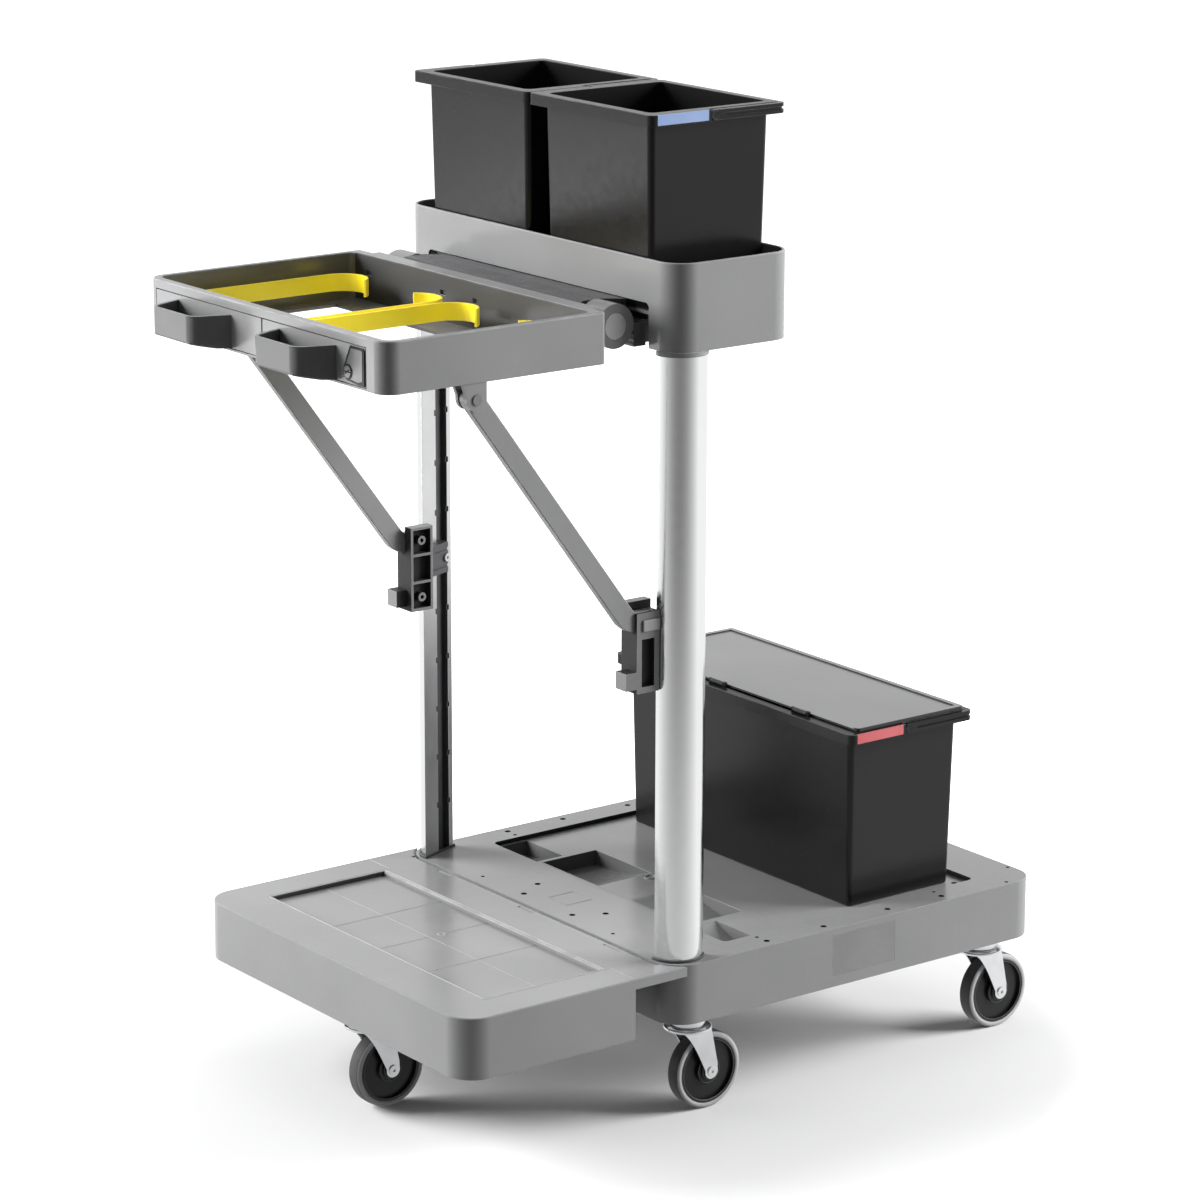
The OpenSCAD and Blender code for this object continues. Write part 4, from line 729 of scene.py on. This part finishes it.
# painted shade on the side and under faces of the handle's nose
def handlePaintedShade(face):
    onNose = face.calc_center_median().y < handleLook["grip"] and face.normal.z < 0.5
    return handleLook["darkShade"] if onNose else 0.0


def handleNose(edge):  # upright edges of the handle's nose
    one, other = (v.co for v in edge.verts)
    return max(one.y, other.y) < handleLook["nose"] and abs(one.z - other.z) > handleLook["tall"]


def handleFoot(edge):  # lower edges of the handle's nose and sides
    one, other = (v.co for v in edge.verts)
    low = max(one.z, other.z) < handleLook["floor"] + handleLook["footRise"]
    return min(one.y, other.y) < handleLook["nose"] and low


dress("bag_frame", (2.0, 3, atHeight(frameLook["top"]), 0.6), (1.2, 2, atHeight(frameLow.z), 0.4),
      (0.6, 1, None), paintedShade=framePaintedShade)
postLook = {"x": 247 * mm, "y": -54.4 * mm, "flat": 10 * mm, "turn": 20.0, "radius": 33 * mm,
            "edge": 0.35 * mm, "wall": 1 * mm, "grooveSlack": 0.5 * mm, "flatSlack": 0.6 * mm}
skinLook = {"outer": 33.08 * mm, "inner": 32.6 * mm, "low": 972.3 * mm, "high": 999 * mm, "ahead": -11 * mm,
            "behind": 26 * mm, "steps": 24}


def skinEdge(radius):  # quarter round with a straight run at either end
    around = [radians(-90 + 90 * i / skinLook["steps"]) for i in range(skinLook["steps"] + 1)]
    bow = [(radius * cos(a), radius * sin(a)) for a in around]
    return [(skinLook["ahead"], -radius)] + bow + [(radius, skinLook["behind"])]


traySkins = newShape()
for side in (-1, 1):
    ringed = skinEdge(skinLook["outer"]) + skinEdge(skinLook["inner"])[::-1]
    spots = [(side * (postLook["x"] + x), postLook["y"] + y, skinLook["low"]) for x, y in ringed]
    slabOf(traySkins, spots, (0, 0, skinLook["high"] - skinLook["low"]))
addTo(addPiece("tray_corner_skins", traySkins, finishes["grey_plastic"]), "tray")
for side in ("left", "right"):
    dress("front_" + side, (3.6, 4, handleFoot, 0.1), (7, 5, handleNose, 0.1), (1.6, 3, None, 0.6),
          paintedShade=handlePaintedShade)
    dress("bracket_" + side, (0.7, 2, None), paintedShade=pocketPaintedShade("bracket_" + side, bracketLook),
          finish=bracketPlastic)
    dress("bag_loop_" + side, (0.8, 2, None))


def makePost(side, sign, look):  # bright rounds; duller flats in a darker copy of the metal, painted shade; dark plastic in the groove and inside, painted shade
    shape = cadCopy("post_" + side)
    roundOver(shape, look["edge"], None, 1)
    across = Vector((-sign * cos(radians(look["turn"])), sin(radians(look["turn"])), 0))
    for face in shape.faces:
        spot = face.calc_center_median() - Vector((sign * look["x"], look["y"], 0))
        ahead, away = spot.dot(across), hypot(spot.x, spot.y)
        if ahead < -look["flat"] - look["grooveSlack"] and away < look["radius"] - look["wall"]:
            face.material_index = 1
        elif abs(face.normal.dot(across)) > 0.95 and abs(abs(ahead) - look["flat"]) < look["flatSlack"]:
            face.material_index = 2
    drawn = addPiece("post_%s_drawn" % side, shape, finishes["post_aluminium"], finishes["dark_plastic"],
                     shadedPostFlat)
    standFor(drawn, "post_" + side)


for side, sign in (("left", -1), ("right", 1)):
    makePost(side, sign, postLook)
strutLook = {"x": 243 * mm, "half": 12.8 * mm, "thick": 12 * mm, "pivot": (-355.4 * mm, 948 * mm),
             "hole": 4.3 * mm, "bend": (-128.5 * mm, 645.2 * mm), "round": 25 * mm, "end": -93 * mm,
             "edge": 1.6 * mm}


def strutOutline(look):  # round top, straight bar and a smoothly bent level foot, in Y and Z
    top, corner, half = Vector(look["pivot"]), Vector(look["bend"]), look["half"]
    fall = Vector((1, 0)).angle(corner - top)
    along, upward = (corner - top).normalized(), Vector((sin(fall), cos(fall)))
    centre = corner - along * look["round"] * sin(fall / 2) / cos(fall / 2) + upward * look["round"]
    spokes = [Vector((-sin(fall * i / 12), -cos(fall * i / 12))) for i in range(13)]  # level foot first
    spots = [Vector((look["end"], corner.y - half))]
    spots += [centre + spoke * (look["round"] + half) for spoke in spokes]
    spots += [top - half * cos(pi * i / 16) * upward - half * sin(pi * i / 16) * along for i in range(17)]
    spots += [centre + spoke * (look["round"] - half) for spoke in spokes[::-1]]
    return spots + [Vector((look["end"], corner.y + half))]


def makeStrut(side, sign, look):
    shape = newShape()
    x = sign * look["x"] - look["thick"] / 2
    spokes = [Vector((cos(pi * i / 12), sin(pi * i / 12))) for i in range(24)]
    pierced = [Vector(look["pivot"]) + look["hole"] * spoke for spoke in spokes]
    edges = []
    for loop in (strutOutline(look), pierced):
        ring = [shape.verts.new((x, *spot)) for spot in loop]
        edges += [shape.edges.new((ring[i - 1], ring[i])) for i in range(len(ring))]
    flat = bmesh.ops.triangle_fill(shape, edges=edges, use_beauty=True, use_dissolve=False)["geom"]
    faces = [item for item in flat if isinstance(item, bmesh.types.BMFace)]
    made = bmesh.ops.extrude_face_region(shape, geom=faces)["geom"]
    verts = [item for item in made if isinstance(item, bmesh.types.BMVert)]
    bmesh.ops.translate(shape, vec=(look["thick"], 0, 0), verts=verts)
    bmesh.ops.recalc_face_normals(shape, faces=shape.faces)
    bmesh.ops.dissolve_limit(shape, angle_limit=radians(0.4), verts=shape.verts, edges=shape.edges)
    roundOver(shape, look["edge"], lambda edge: abs(edge.verts[0].co.x - edge.verts[1].co.x) < 1 * mm, 3)
    standFor(addPiece("strut_%s_bent" % side, shape, finishes["grey_plastic"]), "strut_" + side)


for side, sign in (("left", -1), ("right", 1)):
    makeStrut(side, sign, strutLook)
smallEdges = {"post_collars": 0.5, "strut_clevises": 1.0, "post_sockets": 0.6, "hinge_bracket": 0.5,
              "post_clamps": 0.8, "hinge_caps": 1.2, "clamp_screws": 0.4, "swivel_housings": 0.5,
              "platform_swivel": 0.5, "blank_plate": 0.3, "hinge_cover": 0.4}  # rounding in millimetres
for node, edge in smallEdges.items():
    dress(node, (edge, 2, None))
for node, edge in (("strut_pins", 0.4), ("lock_barrel", 0.5)):
    dress(node, (edge, 2, None), finish=finishes["plate_aluminium"])

lockLook = {"x": 186 * mm, "z": 986 * mm, "ring": 10.5 * mm, "right": 218 * mm, "low": 973 * mm,
            "high": 1017 * mm, "corner": 4 * mm, "topStart": 4 * mm, "footStart": 20 * mm,
            "back": -484.1 * mm, "face": -485.6 * mm, "inset": 3 * mm, "sheet": 0.5 * mm, "lift": 0.01 * mm}


def lockOutline(look, inset):  # slanted plate that runs round the barrel
    r, c = look["ring"] - inset, look["corner"] - inset / 2
    right, high = look["right"] - inset, look["high"] - inset
    spots = [(look["x"] + r * cos(radians(a)), look["z"] + r * sin(radians(a))) for a in range(270, 149, -10)]
    spots.append((look["x"] + look["topStart"] + 0.8 * inset, high))
    spots += [(right - c + c * cos(radians(a)), high - c + c * sin(radians(a))) for a in range(90, -1, -15)]
    return spots + [(right, look["low"] + 2 * inset), (look["x"] + look["footStart"], look["low"] + inset)]


def lockSlab(name, inset, back, face, material):
    shape = newShape()
    ringed = [(x, back, z) for x, z in lockOutline(lockLook, inset)]
    slabOf(shape, ringed, (0, face - back, 0))
    return addPiece(name, shape, material)


lockBack = lockSlab("lock_plate_back", 0, lockLook["back"], lockLook["face"], finishes["hub_plastic"])
standFor(lockBack, "lock_plate")
lockFront = lockLook["face"] - lockLook["sheet"]
lockFace = lockSlab("lock_plate_face", lockLook["inset"], lockLook["face"] - lockLook["lift"], lockFront,
                    finishes["plate_aluminium"])
addTo(lockFace, "lock_plate")
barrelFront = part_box("lock_barrel")[0].y
lockShadeLook = {"radius": 9 * mm, "depth": 0.5 * mm, "slot": (5.4 * mm, 0.8 * mm), "lean": 35.0,
            "slotBack": 0.2 * mm, "slotDepth": 0.3 * mm}


def lockShadeRing(look):  # dark ring round the barrel, painted shade in the gap round it
    shape = newShape()
    disc = [(lockLook["x"] + look["radius"] * cos(radians(a)), lockFront,
             lockLook["z"] + look["radius"] * sin(radians(a))) for a in range(0, 360, 10)]
    slabOf(shape, disc, (0, -look["depth"], 0))
    return addTo(addPiece("lock_seat", shape, finishes["hub_plastic"]), "lock_plate")


def keySlotShade(look):  # dark sheet across the barrel's face, painted shade standing for the key slot
    shape = newShape()
    long, thin = look["slot"]
    lean = Vector((cos(radians(look["lean"])), sin(radians(look["lean"]))))
    rise = Vector((-lean.y, lean.x))
    corners = [lean * a * long + rise * b * thin for a, b in ((-1, -1), (1, -1), (1, 1), (-1, 1))]
    spots = [(lockLook["x"] + c.x, barrelFront + look["slotBack"], lockLook["z"] + c.y) for c in corners]
    slabOf(shape, spots, (0, -look["slotDepth"], 0))
    return addTo(addPiece("key_slot", shape, finishes["hub_plastic"]), "lock_barrel")


lockShadeRing(lockShadeLook)
keySlotShade(lockShadeLook)
catchLook = {"x": 253.5 * mm, "out": 3 * mm, "y": (-114 * mm, -89 * mm), "z": (634 * mm, 648 * mm),
             "edge": 1.2 * mm}
for side, sign in (("left", -1), ("right", 1)):  # pale catch on the outside of each bracket
    catch = newShape()
    (y0, y1), (z0, z1) = catchLook["y"], catchLook["z"]
    slabOf(catch, [(sign * catchLook["x"], y, z) for y, z in ((y0, z0), (y1, z0), (y1, z1), (y0, z1))],
           (sign * catchLook["out"], 0, 0))
    roundOver(catch, catchLook["edge"], None, 3)
    addTo(addPiece("bracket_%s_catch" % side, catch, finishes["cap_plastic"]), "bracket_" + side)
print("frame and posts dressed")


# Bins

binLook = {"height": 236 * mm, "rimShade": 0.7, "insideShade": 0.85}
lidLook = {"topShade": 0.38, "sideShade": 0.9}


def binPaintedShade(node):  # painted shade on the insides and the rims
    low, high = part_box(node)
    middle = (low + high) / 2

    def darkShade(face):
        spot = face.calc_center_median()
        if face.normal.z > 0.9:
            return binLook["rimShade"]
        inward = (middle.x - spot.x) * face.normal.x + (middle.y - spot.y) * face.normal.y
        return binLook["insideShade"] if inward > 0 and abs(face.normal.z) < 0.7 else 0.0
    return darkShade


for node in ("bin_top_left", "bin_top_right", "bin_lower"):
    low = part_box(node)[0].z
    dress(node, (1.0, 2, atHeight(low + binLook["height"])), (3.0, 3, atHeight(low), 0.2),
          (0.5, 1, None, 0.6), paintedShade=binPaintedShade(node))
for node in ("bail_top_left", "bail_top_right", "bail_lower"):
    dress(node, (1.2, 2, None))
# painted shade on the lid: light on the top, heavy on the ridges and sides
dress("lid", (0.6, 2, None, 0.5),
      paintedShade=lambda face: lidLook["topShade"] if face.normal.z > 0.9 else lidLook["sideShade"])
print("bins dressed")


# Castors

wheelLook = {"steps": 96, "tread": 48.9 * mm}
forkLook = {"legIn": 14 * mm, "legOut": 16.5 * mm, "trail": 26 * mm, "axle": 50 * mm, "eye": 10 * mm,
            "edge": 0.5 * mm, "steps": 64}
legFront = [(-24.5, 112), (-7, 104), (6, 74), (16.2, 52.2)]  # ends and handles of a curve, from the swivel
legRear = [(35.4, 60), (24.5, 112)]
tyreHalf = [(43.02, 10.4), (44.2, 11.0), (46.2, 11.0), (48.0, 10.4), (49.2, 9.2), (49.7, 7.6), (49.95, 4.0)]
tyreOutline = [(r, -a) for r, a in tyreHalf] + [(50.0, 0.0)] + tyreHalf[::-1]  # radius and place on the axle
crownOutline = [(6.2, 114.5), (23, 114.5), (27.4, 113.8), (29.4, 113), (30, 112), (30, 109.6), (28.6, 109.2),
                (28.0, 110.6), (26.4, 111.3), (23, 111.5), (6.2, 111.5)]


def makeTyre(name):
    low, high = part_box("tyre_" + name)
    shape = newShape()
    middle = (low + high) / 2
    outline = [(r * mm, a * mm) for r, a in tyreOutline]
    for face in ringWall(shape, outline, wheelLook["steps"], middle, axis="X"):
        spot = face.calc_center_median() - middle
        if hypot(spot.y, spot.z) > wheelLook["tread"]:
            # tread faces take the darker rubber, painted shade
            face.material_index = 1
    standFor(addPiece("tyre_%s_turned" % name, shape, finishes["tyre_rubber"], shadedTreadRubber), "tyre_" + name)


def bend(first, second, third, last, steps):
    for i in range(steps + 1):
        t = i / steps
        yield tuple((1 - t) ** 3 * a + 3 * t * (1 - t) ** 2 * b + 3 * t * t * (1 - t) * c + t ** 3 * d
                    for a, b, c, d in zip(first, second, third, last))


def legOutline(look):  # curved front, round eye and straight rear, in Y and Z
    spots = [(y * mm, z * mm) for y, z in bend(*legFront, 12)]
    turns = [radians(a) for a in range(195, 376, 15)]
    spots += [(look["trail"] + look["eye"] * cos(a), look["axle"] + look["eye"] * sin(a)) for a in turns]
    return spots + [(y * mm, z * mm) for y, z in legRear]


def makeFork(name):
    low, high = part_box("hub_" + name)
    axle = (low + high) / 2
    swivel = Vector((axle.x, axle.y - forkLook["trail"], 0))
    shape = newShape()
    ringWall(shape, [(r * mm, z * mm) for r, z in crownOutline], forkLook["steps"], swivel)
    for sign in (-1, 1):
        spots = [swivel + Vector((sign * forkLook["legIn"], y, z)) for y, z in legOutline(forkLook)]
        slabOf(shape, spots, (sign * (forkLook["legOut"] - forkLook["legIn"]), 0, 0))
    roundOver(shape, forkLook["edge"], None, 2, least=50.0)
    standFor(addPiece("fork_%s_pressed" % name, shape, finishes["zinc_steel"]), "fork_" + name)


for name in castorNames:
    makeTyre(name)
    makeFork(name)
    dress("hub_" + name, (0.9, 2, None))
    dress("axle_" + name, (0.6, 2, None))
print("castors built")

for node, part in nodes.items():
    part.data.materials.clear()
    part.data.materials.append(finishes[slotOf[node]])


# Studio

studioLook = {"fill": (0.98, 0.99, 1.0), "fillLevel": 0.4, "towardCamera": (0.78, -0.59, 0.2),
              "dimLevel": 0.2, "nearLevel": 0.55, "nearEnd": 1.0, "farStart": 3.2, "dimStart": 0.15,
              "dimFull": 1.0, "mirrorLevel": 0.97, "bounce": 0.6, "floorTone": 0.68, "floorGlow": 0.0,
              "farGlow": 1.0, "glowStart": 0.6, "glowFull": 1.1, "floorSize": 60.0}
lampLooks = {
    "leftBox": {"place": (-3.3, -3.1, 2.2), "aim": (0, -0.1, 0.6), "size": 3.0, "watts": 600,
                "mirrored": False},
    "rightBox": {"place": (2.4, 3.7, 2.2), "aim": (0, 0, 0.6), "size": 2.4, "watts": 440, "mirrored": False},
    "topBox": {"place": (-0.5, 0.6, 4.4), "aim": (0, 0, 0), "size": 3.0, "watts": 18, "mirrored": False},
    "lowBox": {"place": (-2.13, -1.86, 0.3), "aim": (0.2, -0.1, 1.1), "size": 0.7, "watts": 4,
               "mirrored": True}}


def seenDirectly(tree):
    path = addNode(tree, "ShaderNodeLightPath")
    most = mathNode(tree, "MAXIMUM", path.outputs["Is Camera Ray"], path.outputs["Is Glossy Ray"])
    return path, mathNode(tree, "MAXIMUM", most, path.outputs["Is Transmission Ray"])


def makeWorld(look):
    world = bpy.data.worlds.new("softStudio")
    scene.world = world
    world.use_nodes = True
    tree = world.node_tree
    tree.nodes.clear()
    path, direct = seenDirectly(tree)
    heading = addNode(tree, "ShaderNodeTexCoord").outputs["Generated"]
    toward = addNode(tree, "ShaderNodeVectorMath", operation="DOT_PRODUCT")
    feed(tree, toward, i0=heading, i1=Vector(look["towardCamera"]).normalized())
    dim = spread(tree, toward.outputs["Value"], look["dimStart"], look["dimFull"], 1.0, look["dimLevel"])
    level = mathNode(tree, "MULTIPLY", dim, look["mirrorLevel"])
    level = mathNode(tree, "MAXIMUM", level, path.outputs["Is Camera Ray"])
    fill = feed(tree, addNode(tree, "ShaderNodeBackground"), Color=(*look["fill"], 1))
    feed(tree, fill, Strength=mathNode(tree, "MULTIPLY", dim, look["fillLevel"]))
    white = feed(tree, addNode(tree, "ShaderNodeBackground"), Color=(1, 1, 1, 1), Strength=level)
    both = addNode(tree, "ShaderNodeMixShader")
    feed(tree, both, i0=direct, i1=fill.outputs[0], i2=white.outputs[0])
    feed(tree, addNode(tree, "ShaderNodeOutputWorld"), Surface=both.outputs[0])


def makeFloor(look):
    half = look["floorSize"] / 2
    mesh = bpy.data.meshes.new("paleFloor")
    corners = [(-half, -half, 0), (half, -half, 0), (half, half, 0), (-half, half, 0)]
    mesh.from_pydata(corners, [], [(0, 1, 2, 3)])
    floor = bpy.data.objects.new("paleFloor", mesh)
    scene.collection.objects.link(floor)
    material = bpy.data.materials.new("paleFloor")
    material.use_nodes = True
    tree = material.node_tree
    tree.nodes.clear()
    tone = look["floorTone"]
    spot = addNode(tree, "ShaderNodeTexCoord").outputs["Object"]
    ahead = addNode(tree, "ShaderNodeVectorMath", operation="DOT_PRODUCT")
    feed(tree, ahead, i0=spot, i1=look["towardCamera"])
    away = addNode(tree, "ShaderNodeVectorMath", operation="LENGTH")
    feed(tree, away, i0=spot)
    distance = away.outputs["Value"]
    heading = mathNode(tree, "DIVIDE", ahead.outputs["Value"], distance)
    nearer = spread(tree, distance, look["nearEnd"], look["farStart"], look["nearLevel"], look["dimLevel"])
    card = spread(tree, heading, look["dimStart"], look["dimFull"], 1.0, nearer)
    path = addNode(tree, "ShaderNodeLightPath")
    bounced = mathNode(tree, "MULTIPLY", card, look["bounce"])
    shaded = mathNode(tree, "MAXIMUM", bounced, path.outputs["Is Camera Ray"])
    pale = mixColour(tree, shaded, (0, 0, 0, 1), (tone, tone, tone, 1))
    matt = feed(tree, addNode(tree, "ShaderNodeBsdfDiffuse"), Color=pale)
    glowing = spread(tree, distance, look["glowStart"], look["glowFull"], look["floorGlow"], look["farGlow"])
    glow = feed(tree, addNode(tree, "ShaderNodeEmission"), Color=(1, 1, 1, 1))
    feed(tree, glow, Strength=mathNode(tree, "MULTIPLY", path.outputs["Is Camera Ray"], glowing))
    lit = feed(tree, addNode(tree, "ShaderNodeAddShader"), i0=matt.outputs[0], i1=glow.outputs[0])
    mirrored = addNode(tree, "ShaderNodeEmission")  # what the cart mirrors of the floor
    feed(tree, mirrored, Color=(1, 1, 1, 1), Strength=mathNode(tree, "MULTIPLY", card, look["mirrorLevel"]))
    both = addNode(tree, "ShaderNodeMixShader")
    feed(tree, both, i0=path.outputs["Is Glossy Ray"], i1=lit.outputs[0], i2=mirrored.outputs[0])
    feed(tree, addNode(tree, "ShaderNodeOutputMaterial"), Surface=both.outputs[0])
    mesh.materials.append(material)


def makeLamp(name, look):
    data = bpy.data.lights.new(name, "AREA")
    data.shape = "SQUARE"
    data.size = look["size"]
    data.energy = look["watts"]
    lamp = bpy.data.objects.new(name, data)
    scene.collection.objects.link(lamp)
    lamp.visible_glossy = look["mirrored"]
    lamp.location = look["place"]
    lamp.rotation_euler = (Vector(look["aim"]) - Vector(look["place"])).to_track_quat("-Z", "Y").to_euler()


makeWorld(studioLook)
makeFloor(studioLook)
for lampName, lampLook in lampLooks.items():
    makeLamp(lampName, lampLook)

cameraLook = {"eye": (4.1517, -3.1151, 1.9722), "azimuth": 53.0, "elevation": 14.79, "roll": 0.14,
              "lens": 127.896, "sensor": 36.0, "reach": 200.0}


def makeCamera(look):
    around, above, roll = radians(look["azimuth"]), radians(look["elevation"]), radians(look["roll"])
    back = Vector((sin(around) * cos(above), -cos(around) * cos(above), sin(above)))
    right = Vector((cos(around), sin(around), 0))
    up = back.cross(right)
    xAxis = cos(roll) * right + sin(roll) * up
    yAxis = cos(roll) * up - sin(roll) * right
    data = bpy.data.cameras.new("photoCamera")
    data.sensor_fit = "HORIZONTAL"
    data.sensor_width = look["sensor"]
    data.lens = look["lens"]
    data.clip_end = look["reach"]
    camera = bpy.data.objects.new("photoCamera", data)
    scene.collection.objects.link(camera)
    turn = Matrix((xAxis, yAxis, back)).transposed().to_4x4()
    camera.matrix_world = Matrix.Translation(look["eye"]) @ turn
    scene.camera = camera


makeCamera(cameraLook)
scene.view_settings.view_transform = "Standard"
print("studio ready")
